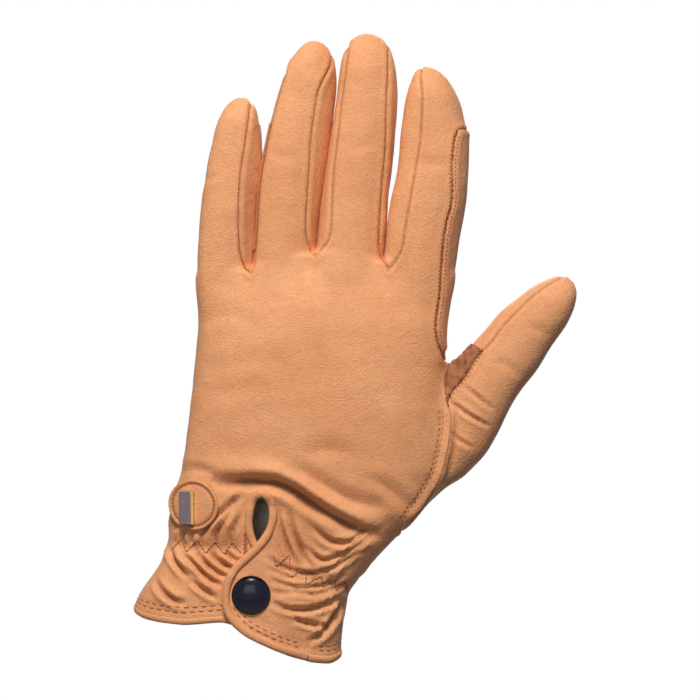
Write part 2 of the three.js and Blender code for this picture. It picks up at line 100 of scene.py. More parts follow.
# Height of the hand's top at each X, between the fingers.
KNUCKLES = np.array([(-30, 134), (4.8, 138.2), (18, 141.5), (30, 144.6), (44, 143.5), (58.6, 141),
                     (72, 138), (100, 134)])

# Each finger's left and right edge as X, Z from its root up, its tip, half its thickness and its root.
FINGERS = {
    "little": dict(
        left=[(-14.6, 112), (-15.0, 140), (-14.3, 155), (-13.5, 166), (-12.3, 173), (-10.8, 182.5),
              (-8.7, 191.2)],
        right=[(2, 112), (6.0, 140), (7.0, 155), (7.7, 166), (8.5, 173), (9.2, 182.5), (8.9, 191.2)],
        tip=(2.6, 205.6), depth=8.0, root=(-5, 142)),
    "ring": dict(
        left=[(4, 112), (7.3, 150), (8.2, 165), (9.2, 174), (10.7, 182.5), (12.4, 191.7), (15.2, 203.5),
              (17.6, 211)],
        right=[(28, 112), (30.9, 150), (32.5, 165), (34.4, 178), (36.2, 191.7), (37.7, 203.5),
               (38.4, 212)],
        tip=(29.8, 228.2), depth=9.0, root=(18.2, 147)),
    "middle": dict(
        left=[(29, 112), (31.5, 150), (33.1, 165), (35.0, 178), (37.0, 191.7), (38.9, 204.8), (40.1, 214)],
        right=[(54, 112), (57.6, 150), (58.5, 165), (60.0, 178), (61.0, 191.7), (61.9, 204.8),
               (61.7, 214)],
        tip=(52.2, 230.8), depth=9.5, root=(44.5, 149)),
    "index": dict(
        left=[(56, 112), (58.1, 149), (59.7, 164), (62.6, 178), (64.0, 191.7), (65.6, 202)],
        right=[(80.7, 112), (84.9, 147), (87.8, 164), (89.0, 178), (89.2, 191), (87.6, 200)],
        tip=(76.0, 217.3), depth=9.5, root=(71.3, 145)),
    "thumb": dict(
        left=[(52, 62), (66, 76), (81.5, 98), (89.4, 107), (97, 115.8), (103.4, 123.0), (110.5, 128.8)],
        right=[(70, 43), (87.5, 57.5), (98.3, 69), (107.9, 87.5), (116.2, 99), (122.5, 109),
               (127.6, 116.5)],
        tip=(128.6, 136.4), depth=10.6, root=(90.5, 86)),
}
THUMB_Y = 4.6  # the thumb's centre lies this far towards the palm

# Seams in the front view, as X, Z from top to bottom.
SEAMS = {
    "little_right": [(5.3, 203.4), (5, 197.7), (4.3, 192.4), (3.3, 185.5), (2, 177.2), (1.3, 168.6),
                     (1, 158.6), (1.3, 149.4), (2, 144), (3.4, 140), (5.4, 137.6)],
    "ring_right": [(36.8, 220.6), (36.1, 217), (33.5, 211.6), (31.5, 206.4), (30.1, 197.7), (29.1, 189.8),
                   (28.5, 178.5), (27.8, 168.6), (27.2, 158.6), (27.2, 152), (28.2, 148),
                   (30.1, 144.5)],
    "middle_left": [(42.7, 220.3), (41.8, 213), (40.4, 203), (39.1, 191.8), (37.8, 181.8), (37.1, 175.2),
                    (36.8, 165.2), (36.5, 155.3), (35.5, 150), (32.8, 146.5), (30.1, 144.0)],
    "middle_right": [(58.7, 224.9), (58.7, 215), (58, 201.7), (57.7, 185.2), (56.7, 171.9), (55.7, 158.6),
                     (55.4, 148.6), (56.2, 143.6), (58.7, 138.9)],
    "index_left": [(71, 213.3), (71.5, 208.7), (71.8, 203.3), (71, 189.2), (69.9, 181.8), (67.6, 168.6),
                   (65.3, 155.3), (63.9, 146.7), (61.3, 141.8), (58.7, 138.6)],
    "guard": [(89.8, 193.2), (85.5, 191.9), (83.6, 181.7), (83.4, 165.4), (81.7, 158.4), (80.1, 149.2),
              (79.3, 138.4), (78.7, 128.8), (77.3, 115.5), (80.3, 104.0)],
    "thumb": [(127.4, 136.6), (119.4, 132.3), (113, 127.1), (106.6, 120.7), (102.1, 115.6), (98.3, 110.5),
              (94.5, 107.0), (91.9, 103.6), (87.5, 96.5), (83, 91.4), (81.6, 88.0)],
    "outseam": [(81.6, 88.0), (82.7, 81.8), (82.3, 75.5), (81.1, 69), (78.9, 60.2), (74.3, 52.2),
                (69.8, 46), (66.5, 41.5), (63.8, 37.5)],
}


def smooth_line(points, count):
    """A smooth curve through points (Catmull-Rom on chord length), as count evenly spaced points."""
    p = np.array(points, float)
    p = np.vstack([2 * p[0] - p[1], p, 2 * p[-1] - p[-2]])
    out = []
    for i in range(1, len(p) - 2):
        t = np.linspace(0, 1, 24, endpoint=False)[:, None]
        a, b, c, d = p[i - 1], p[i], p[i + 1], p[i + 2]
        square, cube = 2 * a - 5 * b + 4 * c - d, 3 * b - a - 3 * c + d
        out.append(0.5 * (2 * b + (c - a) * t + square * t**2 + cube * t**3))
    out = np.vstack(out + [p[-2:-1]])
    length = np.concatenate([[0], np.cumsum(np.linalg.norm(np.diff(out, axis=0), axis=1))])
    at = np.linspace(0, length[-1], count)
    return np.stack([np.interp(at, length, out[:, k]) for k in range(out.shape[1])], axis=1)


def smoothstep(low, high, x):
    t = np.clip((x - low) / (high - low), 0, 1)
    return t * t * (3 - 2 * t)


def unit(v):
    return v / np.maximum(np.linalg.norm(v, axis=-1, keepdims=True), 1e-9)


def hump(x, width):
    """1 at x = 0, falling smoothly to nothing a few widths away."""
    return np.exp(-((x / width) ** 2))


def smooth_min(a, b, radius):
    h = np.clip(0.5 + 0.5 * (b - a) / radius, 0, 1)
    return b * (1 - h) + a * h - radius * h * (1 - h)


class Finger:
    """A finger's own coordinates: s along it from its root, t across it towards the thumb side."""

    slimmer = 0.45  # taken off each side while the surface is found, so that the grid tells two fingers apart

    def __init__(self, name, left, right, tip, depth, root):
        self.name, self.depth = name, depth
        self.origin = np.array(root, float)
        self.along = np.array(tip, float) - self.origin
        self.length = np.linalg.norm(self.along)
        self.along /= self.length
        self.across = np.array([self.along[1], -self.along[0]])
        self.y = THUMB_Y if name == "thumb" else 0.0
        self.slant = 0.0 if name == "thumb" else 0.26
        sides = []
        for side in (left, right):
            line = smooth_line(side, 80) - self.origin
            sides.append((line @ self.along, line @ self.across))
        self.start = min(sides[0][0][-1], sides[1][0][-1])
        self.s = np.linspace(max(sides[0][0][0], sides[1][0][0]), self.start, 90)
        self.low, self.high = (np.interp(self.s, *side) for side in sides)
        self.slopes = [(side[-1] - side[-6]) / (self.s[-1] - self.s[-6]) for side in (self.low, self.high)]

    def local(self, p):
        q = p[..., [0, 2]] - self.origin
        return q @ self.along, q @ self.across

    def sides(self, s):
        """Left and right edge at s. Past the last point they keep their slope, under the domed tip."""
        beyond = np.clip(s - self.start, 0, None)
        low = np.interp(s, self.s, self.low) + beyond * self.slopes[0]
        high = np.interp(s, self.s, self.high) + beyond * self.slopes[1]
        return low, np.maximum(high, low + 1)

    def field(self, p):
        """Distance outside the finger, near enough."""
        s, t = self.local(p)
        low, high = self.sides(s)
        inset = 4.0 * (smoothstep(-22, -52, s) if self.name == "thumb" else smoothstep(-10, -32, s))
        centre, half = (low + high) / 2, np.maximum((high - low) / 2 - inset - Finger.slimmer, 1)
        dome = self.length - self.start
        beyond = np.clip(s - self.start, 0, None)
        lean = -(self.low[-1] + self.high[-1]) / 2 * np.clip(beyond / dome, 0, 1.2) ** 2
        depth = self.depth * (1.03 - 0.13 * smoothstep(0.3 * self.start, self.start, s)) - inset
        v = (p[..., 1] - self.y) / depth
        u = (t - centre - lean - self.slant * (p[..., 1] - self.y)) / half
        flat = (np.abs(u) ** 2.25 + np.abs(v) ** 2.25) ** (1 / 2.25)
        r = (flat**2.3 + (beyond / dome) ** 2.3) ** (1 / 2.3)
        reach = np.sqrt((u * half) ** 2 + (v * depth) ** 2 + beyond**2)
        below = np.clip(self.s[0] - s, 0, None)
        return reach * (1 - 1 / np.maximum(r, 1e-3)) + below


fingers = {name: Finger(name, **shape) for name, shape in FINGERS.items()}


def hand_field(p):
    x, y, z = p[..., 0], p[..., 1], p[..., 2]
    left, right, back, palm = (np.interp(z, HAND_Z, HAND_FINE[:, k]) for k in range(4))
    centre, half = (left + right) / 2, (right - left) / 2
    depth = np.where(y < 0, back, palm)
    u, v = (x - centre) / half, y / depth
    r = (np.abs(u) ** HAND_POWER + np.abs(v) ** HAND_POWER) ** (1 / HAND_POWER)
    reach = np.hypot(x - centre, y)
    side = reach * (1 - 1 / np.maximum(r, 1e-3))
    top = z - np.interp(x, KNUCKLES[:, 0], KNUCKLES[:, 1])
    return np.maximum(side, top) + np.clip(np.minimum(side, top), 0, None) * 0.4


fine = smooth_line(HAND, 300)
HAND_Z, HAND_FINE = fine[:, 0], fine[:, 1:]


def field(p):
    total = hand_field(p)
    tips = None
    for name in ("little", "ring", "middle", "index"):
        one = fingers[name].field(p)
        tips = one if tips is None else np.minimum(tips, one)
    total = smooth_min(total, tips, 4.0)
    return smooth_min(total, fingers["thumb"].field(p), 8.0)


def surface():
    """The field's zero surface, as quads: one vertex in each cell that it crosses."""
    low = np.array([-48.0, -26.0, -24.0])
    size = np.array([186.0, 50.0, 260.0])
    shape = (size / CELL).astype(int)
    axes = [low[k] + CELL * np.arange(shape[k] + 1) for k in range(3)]
    values = np.empty([n + 1 for n in shape], np.float32)
    for i in range(0, shape[0] + 1, 16):
        block = np.stack(np.meshgrid(axes[0][i:i + 16], axes[1], axes[2], indexing="ij"), axis=-1)
        values[i:i + 16] = field(block)
    inside = values < 0
    corners = [(a, b, c) for a in (0, 1) for b in (0, 1) for c in (0, 1)]

    def shifted(array, a, b, c):
        return array[a:shape[0] + a, b:shape[1] + b, c:shape[2] + c]

    count = sum(shifted(inside, *k).astype(int) for k in corners)
    active = (count > 0) & (count < 8)
    index = -np.ones(shape, int)
    index[active] = np.arange(active.sum())
    at = np.argwhere(active)
    total = np.zeros((len(at), 3))
    hits = np.zeros(len(at))
    for k in corners:
        for axis in range(3):
            if k[axis]:
                continue
            other = tuple(1 if n == axis else k[n] for n in range(3))
            a = values[tuple((at + k).T)]
            b = values[tuple((at + other).T)]
            cross = (a < 0) != (b < 0)
            share = np.where(cross, a / np.where(a == b, 1, a - b), 0)
            point = np.repeat(np.array(k, float)[None], len(at), axis=0)
            point[:, axis] += share
            total += np.where(cross[:, None], point, 0)
            hits += cross
    points = low + CELL * (at + total / hits[:, None])
    quads = []
    for axis in range(3):
        b, c = (axis + 1) % 3, (axis + 2) % 3
        first = [slice(None)] * 3
        first[axis] = slice(0, shape[axis])
        edge_a = inside[tuple(slice(0, n) for n in shape)]
        step = [0, 0, 0]
        step[axis] = 1
        edge_b = inside[tuple(slice(step[n], shape[n] + step[n]) for n in range(3))]
        where = np.argwhere(edge_a != edge_b)
        where = where[(where[:, b] > 0) & (where[:, c] > 0)]
        db, dc = np.zeros(3, int), np.zeros(3, int)
        db[b], dc[c] = 1, 1
        ring = [index[tuple((where - m).T)] for m in (0 * db, db, db + dc, dc)]
        quad = np.stack(ring, axis=1)
        flip = ~edge_a[tuple(where.T)]
        quad[flip] = quad[flip][:, ::-1]
        quads.append(quad)
    return points, np.vstack(quads)


def gradient(p, h=0.15):
    g = np.empty_like(p)
    for k in range(3):
        step = np.zeros(3)
        step[k] = h
        g[:, k] = (field(p + step) - field(p - step)) / (2 * h)
    return g


def settle(points, rounds=3):
    """Moves points onto the zero surface, and gives its normals there."""
    for _ in range(rounds):
        g = gradient(points)
        points = points - (field(points) / np.maximum((g * g).sum(1), 0.05))[:, None].clip(-1, 1) * g
    return points, unit(gradient(points))


points, quads = surface()
points, _ = settle(points, 2)
Finger.slimmer = 0.0
points, normals = settle(points, 4)
triangles = np.vstack([quads[:, [0, 1, 2]], quads[:, [0, 2, 3]]])


# ---------------------------------------------------------------- outlines on the skin


def front_line(name, count=160):
    return smooth_line(SEAMS[name], count)


def line_distance(xz, line):
    """Distance in the front view from each point to a line of points, and the line's share there."""
    best = np.full(len(xz), 1e9)
    share = np.zeros(len(xz))
    low, high = line.min(0) - 12, line.max(0) + 12
    near = np.all((xz > low) & (xz < high), axis=1)
    picked = np.flatnonzero(near)
    for start in range(0, len(picked), 20000):
        rows = picked[start:start + 20000]
        d = np.linalg.norm(xz[rows, None, :] - line[None], axis=2)
        best[rows] = d.min(1)
        share[rows] = d.argmin(1) / (len(line) - 1)
    return best, share


def inside_signed(xz, outline):
    """Distance to a closed outline in the front view, positive inside it."""
    closed = np.vstack([outline, outline[:1]])
    dense = np.vstack([np.linspace(a, b, max(2, int(np.linalg.norm(b - a) / 0.4)), endpoint=False)
                       for a, b in zip(closed[:-1], closed[1:])])
    distance, _ = line_distance(xz, dense)
    inside = np.zeros(len(xz), bool)
    for (x0, z0), (x1, z1) in zip(closed[:-1], closed[1:]):
        if z0 == z1:
            continue
        crosses = (z0 > xz[:, 1]) != (z1 > xz[:, 1])
        inside ^= crosses & (xz[:, 0] < (x1 - x0) * (xz[:, 1] - z0) / (z1 - z0) + x0)
    return np.where(inside, 1, -1) * np.minimum(distance, 30)


def palm_seam(name, share, low, high, count=24):
    """A seam on the palm side: a line down a finger at a share of its half width."""
    finger = fingers[name]
    s = np.linspace(low, high, count)
    left, right = finger.sides(s)
    t = (left + right) / 2 + share * (right - left) / 2
    return finger.origin + s[:, None] * finger.along + t[:, None] * finger.across


def between(left, left_top, right, right_top, lowest):
    """Outline between two seams that meet at their lowest point, up through the gap between two fingers."""
    return np.vstack([left[::-1], [left_top], [right_top], right, [lowest]])


# ---------------------------------------------------------------- creases


def waves(p, size, seed, count=7):
    """Soft irregular lumps about as long as size, from -1 to 1."""
    rng = np.random.default_rng(seed)
    total = np.zeros(len(p))
    for _ in range(count):
        direction = rng.normal(size=3)
        direction *= 2 * math.pi / (size * rng.uniform(0.8, 1.7) * np.linalg.norm(direction))
        total += np.sin(p @ direction + rng.uniform(0, 6.28))
    return total / math.sqrt(count) / 1.4


def fold(xz, line, depth, width, lip=0.4):
    """A crease along a line: a groove, fading at both ends, with a soft lip on each side."""
    d, share = line_distance(xz, line)
    fade = np.sin(np.clip(share, 0.0, 1) * math.pi) ** 0.6
    groove = np.exp(-((d / width) ** 1.4))
    return (-depth * groove + lip * depth * hump(d - 2.0 * width, 1.1 * width)) * fade


# The brow: where the leather stands out above the wrist, just over its deepest crease.
BROW = smooth_line([(-14, 57.4), (0, 57.8), (13, 57.4), (22, 54.0), (30, 49.0), (38, 44.0), (47, 39.6),
                    (58, 36.5)], 120)

# Creases on the back and on the palm, each as its line in X and Z, its depth and its width.
CREASES = [
    ([(-9.5, 57.6), (-4, 57.0), (3, 57.2), (10, 57.4), (16, 56.6), (22, 54.0), (28, 49.8), (36, 45.0),
      (46, 39.4), (56, 36.8)], 3.4, 2.1),
    ([(18, 62.5), (27, 60), (36, 55), (46, 50), (58, 47)], 1.3, 2.6),
    ([(26, 68), (36, 70), (46, 68)], 0.7, 3.0),
    ([(50, 60), (60, 54), (68, 46)], 0.8, 2.2),
    ([(-22, 60.5), (-16, 62), (-8, 61)], 0.8, 1.8),
    ([(-17, 96), (-8, 92), (2, 93), (10, 97)], 0.35, 3.5),
    ([(-16, 104), (-4, 101), (8, 104), (22, 101)], 0.3, 3.0),
    ([(-14, 118), (-2, 121), (10, 117)], 0.35, 2.6),
    ([(82, 88.2), (86, 85.4), (90, 82.5), (98, 78)], 1.3, 0.8),
    ([(82.6, 76.7), (85.5, 73.3), (91.2, 69.8)], 0.9, 0.8),
    ([(87.7, 93.9), (93.5, 89.3), (99.2, 84.7)], 0.8, 0.9),
    ([(112, 118), (118, 115), (122, 113)], 0.25, 1.6),
    ([(100, 104), (106, 101), (110, 97)], 0.3, 1.6),
    ([(-6, 176), (-10, 174), (-12, 173)], 0.3, 1.2),
    ([(13, 184), (18, 182), (24, 183)], 0.2, 1.8),
    ([(41, 188), (47, 186), (54, 188)], 0.2, 1.8),
    ([(70, 181), (76, 179), (82, 180)], 0.22, 1.8),
]
CUFF_FOLDS = [  # gathers on the back of the wrist
    [(-20.7, 29.3), (-16.3, 26.5), (-10.2, 20.9), (-5.2, 18.2)],
    [(-15.5, 30.1), (-11.3, 26.5), (-6.3, 22.9), (-1.8, 20.9)],
    [(-9.9, 30.7), (-6.3, 27.1), (-1.8, 24.8), (1.5, 23.7)],
    [(-4.0, 31.0), (-0.7, 28.2), (2.6, 26.5)],
    [(-25.7, 32.1), (-24.1, 27.6), (-20.7, 23.7), (-18.0, 20.9)],
    [(-31.3, 19.3), (-28.0, 15.4), (-23.0, 12.0), (-18.0, 11.5)],
    [(-16.8, 19.8), (-12.4, 16.5), (-6.8, 13.2)],
    [(-21.2, 34.3), (-20.4, 36.6), (-18.6, 39.4)],
    [(-13.7, 33.2), (-12.9, 37.6), (-9.1, 42.6), (-2.9, 47.6), (4.3, 53.8)],
    [(-7.9, 32.6), (-6.8, 38.2), (-3.5, 43.2), (1.0, 48.8)],
    [(-1.8, 33.2), (-0.7, 38.7), (2.1, 44.9)],
    [(-17.5, 33.6), (-16.6, 37.0), (-14.5, 39.4)],
    [(12.6, 29.3), (17.7, 25.2), (26.6, 22.6), (33.8, 23.4), (41.0, 27.1), (48.3, 31.5)],
    [(13.2, 24.8), (19.3, 21.8), (26.6, 20.4), (33.2, 20.9), (38.2, 22.6)],
    [(13.8, 20.9), (19.9, 18.2), (27.7, 17.4), (35.5, 18.2), (43, 22)],
    [(14.1, 15.9), (22.1, 15.4), (31.0, 14.8), (38.2, 16.5), (44, 19)],
    [(14.1, 12.0), (19.9, 9.3), (27.7, 8.7), (34.9, 10.4), (40.5, 13.2)],
    [(41.6, 12.0), (38.2, 5.4), (33.2, -0.8), (27.7, -3.8)],
    [(22.1, 5.4), (28.8, 3.1), (35.5, 2.0)],
    [(16.3, 47.1), (17.7, 40.4), (19.7, 33.7), (22.1, 27.6)],
    [(20.4, 46.0), (22.1, 38.7), (24.9, 32.1), (27.7, 26.5)],
    [(26.6, 33.2), (31.0, 28.7), (35.5, 27.6), (43.2, 31.0), (53.3, 37.6)],
    [(30, 40), (36, 35), (44, 34.5), (52, 40)],
]
PALM_CREASES = [
    ([(8, 132), (24, 124), (44, 122), (66, 126), (79, 124)], 1.0, 2.6),
    ([(-12, 120), (6, 114), (26, 112), (50, 116), (70, 112)], 0.8, 2.6),
    ([(72, 110), (58, 100), (48, 84), (46, 64), (52, 50)], 1.0, 3.0),
    ([(-20, 50), (-2, 46), (20, 46), (44, 42), (60, 42)], 1.2, 2.4),
    ([(-4, 142), (-10, 143), (-13, 144)], 0.7, 1.6),
    ([(12, 147), (18, 146), (25, 147)], 0.8, 1.8),
    ([(37, 149), (44, 148), (52, 149)], 0.8, 1.8),
    ([(64, 146), (71, 145), (79, 147)], 0.8, 1.8),
    ([(-9, 168), (-3, 167), (4, 168)], 0.7, 1.5),
    ([(14, 182), (22, 181), (31, 182)], 0.8, 1.6),
    ([(39, 187), (48, 186), (57, 187)], 0.8, 1.6),
    ([(67, 180), (76, 179), (85, 180)], 0.8, 1.6),
    ([(105, 113), (108, 109), (113, 106)], 0.6, 1.6),
]

# Zigzag stitching over the elastic, as X, Z of its corners.
ZIGZAG_LEFT = [(-24.3, 31.0), (-20.8, 35.8), (-18.6, 30.4), (-14.6, 35.4), (-11.2, 30.0), (-7.7, 35.0),
               (-4.1, 29.8), (-1.0, 34.8), (2.4, 30.4)]
ZIGZAG_RIGHT = [(14.8, 30.3), (15.4, 25.5), (20.8, 29.8), (21.1, 21.2), (26.7, 24.7), (27.3, 18.5),
                (33.2, 21.9), (33.4, 17.3), (38.2, 20.9), (38.5, 15.6), (42.4, 18.6), (42.7, 15.0)]
ELASTIC_LINE = np.array([(-30, 33.5), (-20, 33), (-10, 32.5), (2, 32.6), (14, 28), (21, 25.5), (27, 22),
                         (33, 19.5), (42, 17), (50, 15)])
KEYHOLE = np.array([(10.1, 53.0), (12.8, 50.6), (14.4, 47.0), (14.6, 43.2), (13.4, 39.2), (11.2, 35.6),
                    (8.6, 32.4), (6.7, 34.6), (5.5, 38.5), (5.2, 43.0), (5.9, 47.8), (7.6, 51.4)])
KEYHOLE_BINDING = [(9.4, 31.2), (7.2, 34.0), (5.6, 38.5), (5.3, 43.0), (5.9, 47.6), (7.5, 51.4),
                   (10.1, 53.4), (12.8, 51.6), (14.2, 48.8)]
FLAP_EDGE = [(14.1, 49.4), (14.7, 44.4), (13.4, 39.2), (11.2, 35.6), (8.4, 32.2), (4.4, 28.6), (0.6, 24.9),
             (-2.0, 20.8), (-3.2, 15.4), (-3.1, 10.9), (-1.6, 7.0), (1.0, 3.8), (5.0, 0.6), (10.0, -2.0),
             (16.4, -5.0), (23.4, -7.8), (27.4, -9.2)]
FOLD = np.array([(14.5, 52.0), (30.0, -20.0)])  # the line that the flap opens about, from its top
FOLD_RUN = unit(FOLD[1] - FOLD[0])
FOLD_WAY = np.array([FOLD_RUN[1], -FOLD_RUN[0]])  # from the fold towards the flap's free edge
FLAP_LIFT = 2.5  # how far the flap stands off the leather under it

# Edge of the wrist opening: its height at each X, left of the flap, on the flap, and on the palm.
MOUTH_LEFT = np.array([(-60, 8.4), (-39.7, 7.6), (-35.4, 5.9), (-30, 5.1), (-19.2, 4.2), (-11.2, 4.9),
                       (-4, 5.6), (4, 2.6), (16, -3)])
MOUTH_RIGHT = np.array([(16, -5.2), (23.1, -8.3), (30, -10.2), (36.2, -11.2), (39.3, -10.4), (60, -9)])
MOUTH_PALM = np.array([(-60, 9.0), (-39, 8.2), (-10, 5.8), (20, -5), (37, -9.6), (60, -9.5)])


def fold_side(xz):
    """Distance from the fold, positive on the flap's side."""
    return (xz - FOLD[0]) @ FOLD_WAY


def crumple(p):
    """How far the leather stands in or out of the smooth shape, in mm."""
    x, y, z = p.T
    xz = p[:, [0, 2]]
    front = smoothstep(1.5, -3, y)
    palm = 1 - front
    out = 0.22 * waves(p, 26, 3) + 0.12 * waves(p, 11, 5)
    brow = np.interp(x, BROW[:, 0], BROW[:, 1]) + 5.5
    out += front * 1.1 * hump(z - brow, 3.6) * smoothstep(-16, -4, x) * smoothstep(60, 40, x)
    wrist = np.exp(-((z - 42) / 26) ** 2)
    out += wrist * (0.30 * waves(p, 13, 7) + 0.16 * waves(p, 7, 9))
    for line, depth, width in CREASES:
        out += front * fold(xz, smooth_line(line, 60), depth, width)
    for k, line in enumerate(CUFF_FOLDS):
        out += front * fold(xz, smooth_line(line, 60), 2.05 - 0.18 * (k % 4), 0.9 + 0.1 * (k % 3), 0.55)
    for line, depth, width in PALM_CREASES:
        out += palm * fold(xz, smooth_line(line, 60), depth, width)
    # Pleats either side of the elastic run with the hand and die out above and below it.
    centre = np.interp(x, ELASTIC_LINE[:, 0], ELASTIC_LINE[:, 1])
    away = z - centre
    reach = hump(np.abs(away) - 5, 9.5) * smoothstep(-30, -24, x) * smoothstep(60, 44, x)
    clear = smoothstep(5.5, 9, np.abs(x - 9.5))
    turn = x + 0.35 * away * np.sign(x - 8) + 1.2 * np.sin(z / 6.0 + x / 9)
    pleat = np.sin(turn * 2 * math.pi / 6.4)
    pleat = np.sign(pleat) * np.abs(pleat) ** 0.8
    out += front * reach * clear * 0.3 * pleat * (0.75 + 0.35 * waves(p, 15, 11))
    out -= front * 0.9 * hump(away, 2.6) * clear * smoothstep(-30, -24, x) * smoothstep(54, 40, x)
    palm_pleat = np.sin((x + 0.15 * away) * 2 * math.pi / 7.5)
    above = z - (34 - 0.22 * x)
    out += palm * hump(above, 11) * 0.55 * palm_pleat * (0.8 + 0.3 * waves(p, 15, 13))
    out -= palm * 0.8 * hump(above, 4)
    return out


# ---------------------------------------------------------------- panels


class Skin:
    """A triangle mesh that can be cut along the zero line of a value given at its points."""

    def __init__(self, p, n, t):
        self.p, self.n, self.t = p, n, t
        self.label = np.zeros(len(t), int)

    def cut(self, value, bit, where=None):
        """Cuts triangles where value crosses zero, sets a bit in the label of those on the positive side, and
        gives the values back with those of the new points."""
        value = value.copy()
        value[np.abs(value) < 0.12] = 0
        where = np.ones(len(self.p), bool) if where is None else where
        t = self.t
        edges = np.stack([t[:, [0, 1]], t[:, [1, 2]], t[:, [2, 0]]], axis=1)
        a, b = value[edges[..., 0]], value[edges[..., 1]]
        split = (a * b < 0) & where[edges[..., 0]] & where[edges[..., 1]] & (np.abs(a) < 4) & (np.abs(b) < 4)
        keys = np.sort(edges, axis=2)[split]
        unique, inverse = np.unique(keys, axis=0, return_inverse=True)
        inverse = inverse.reshape(-1)
        va, vb = value[unique[:, 0]], value[unique[:, 1]]
        share = (va / (va - vb))[:, None]
        more_p, more_n = (old[unique[:, 0]] * (1 - share) + old[unique[:, 1]] * share
                          for old in (self.p, self.n))
        middle = -np.ones(split.shape, int)
        middle[split] = len(self.p) + inverse
        self.p, self.n = np.vstack([self.p, more_p]), np.vstack([self.n, more_n])
        value = np.concatenate([value, np.zeros(len(unique))])
        count = split.sum(1)
        new_t, new_label = [t[count == 0]], [self.label[count == 0]]
        for rows in np.flatnonzero(count > 0):
            v, m = list(t[rows]), list(middle[rows])
            if count[rows] == 3:
                made = [(v[0], m[0], m[2]), (m[0], v[1], m[1]), (m[2], m[1], v[2]), (m[0], m[1], m[2])]
            elif count[rows] == 2:
                k = [i for i in range(3) if m[i] < 0][0]
                v, m = v[k:] + v[:k], m[k:] + m[:k]
                made = [(v[0], v[1], m[1]), (v[0], m[1], m[2]), (m[2], m[1], v[2])]
            else:
                k = [i for i in range(3) if m[i] >= 0][0]
                v, m = v[k:] + v[:k], m[k:] + m[:k]
                made = [(v[0], m[0], v[2]), (m[0], v[1], v[2])]
            new_t.append(np.array(made))
            new_label.append(np.full(len(made), self.label[rows]))
        self.t, self.label = np.vstack(new_t), np.concatenate(new_label)
        if bit is not None:
            self.label = self.label | ((value[self.t].sum(1) > 0).astype(int) << bit)
        return value

    def has(self, bit):
        return (self.label >> bit) & 1 == 1


def vertex_normals(p, t):
    """Each point's normal, from the triangles round it."""
    face = np.cross(p[t[:, 1]] - p[t[:, 0]], p[t[:, 2]] - p[t[:, 0]])
    n = np.zeros_like(p)
    for k in range(3):
        np.add.at(n, t[:, k], face)
    return unit(n)


# ---------------------------------------------------------------- cutting the skin into panels

# Lowest point of each gap between two fingers, on the back of the hand.
V_LOW = {"little_ring": (5.4, 137.2), "ring_middle": (30.3, 143.6), "middle_index": (58.8, 138.2)}
FOURCHETTES = {
    "little_ring": dict(
        front=between(front_line("little_right"), (4.7, 207.6), palm_seam("ring", -0.985, 66, -9),
                      (19.6, 221.0), V_LOW["little_ring"]),
        palm=between(palm_seam("little", 0.62, 59, -2), (4.7, 207.6), palm_seam("ring", -0.62, 68, -5),
                     (19.6, 221.0), (6.3, 134.5))),
    "ring_middle": dict(
        front=between(front_line("ring_right"), (37.2, 227.0), front_line("middle_left"), (43.2, 227.0),
                      V_LOW["ring_middle"]),
        palm=between(palm_seam("ring", 0.62, 73, -2), (37.2, 227.0), palm_seam("middle", -0.62, 73, -4),
                     (43.2, 227.0), (31.0, 140.0))),
    "middle_index": dict(
        front=between(front_line("middle_right"), (57.6, 231.5), front_line("index_left"), (72.6, 220.0),
                      V_LOW["middle_index"]),
        palm=between(palm_seam("middle", 0.62, 74, -2), (57.6, 231.5), palm_seam("index", -0.62, 67, -4),
                     (72.6, 220.0), (58.8, 134.8))),
}
GUARD_SIDE = [(83.5, 103.5), (86, 110), (89, 120), (95, 140), (95, 194)]
GUARD = dict(
    front=np.vstack([front_line("guard"), GUARD_SIDE]),
    palm=np.vstack([palm_seam("index", 0.62, 48, 0), [(80.0, 126), (78.2, 112), (78.0, 103.5)], GUARD_SIDE]))
THUMB_OUTER = dict(
    front=np.vstack([front_line("thumb"), front_line("outseam"),
                     [(68, 30), (140, 60), (140, 146), (129, 140)]]),
    palm=np.vstack([palm_seam("thumb", 0.5, 52, -24),
                    [(72, 50), (65, 42), (60, 34), (68, 28), (140, 60), (140, 146)]]))
FORK = np.array([(100, 105), (94.6, 108.2), (87.5, 112.5), (82.6, 104.5), (80.2, 98), (80.6, 91),
                 (81.5, 86.0), (92, 88)])
SLIT = np.array([(10.5, 52), (9.0, 34), (12.5, 27), (14.5, 18), (15.0, -34), (60, -34), (60, 52)])
FLAP = np.vstack([smooth_line(FLAP_EDGE, 90), [(60, -20), (60, 52), (14.6, 52)]])
KEYHOLE_EDGE = smooth_line(np.vstack([KEYHOLE, KEYHOLE[:1]]), 100)[:-1]
GAPS = ("little_ring", "ring_middle", "middle_index")  # the gaps between fingers, lined by the fourchettes
PANELS = (*GAPS, "guard", "thumb_outer", "fork")
CUTS = (*PANELS, "mouth", "keyhole", "slit", "fold", "flap", "patch_top",
        *(f"{finger}_{cut}" for cut in ("start", "mid") for finger in FINGERS))
BITS = {name: bit for bit, name in enumerate(CUTS)}

# Where each finger's leather is parted, in mm along it from its root: at its start and between its two bends.
START = {"little": -2.0, "ring": -2.0, "middle": -2.0, "index": -2.0, "thumb": 4.0}
MIDDLE = {"little": 14.5, "ring": 18.0, "middle": 19.0, "index": 17.5, "thumb": 19.0}


def two_sided(p, front, palm, y=0.0):
    """Distance inside one outline on the back and another on the palm, with y between the two."""
    value = np.empty(len(p))
    for side, outline in ((p[:, 1] < y, front), (p[:, 1] >= y, palm)):
        value[side] = inside_signed(p[side][:, [0, 2]], outline)
    return value


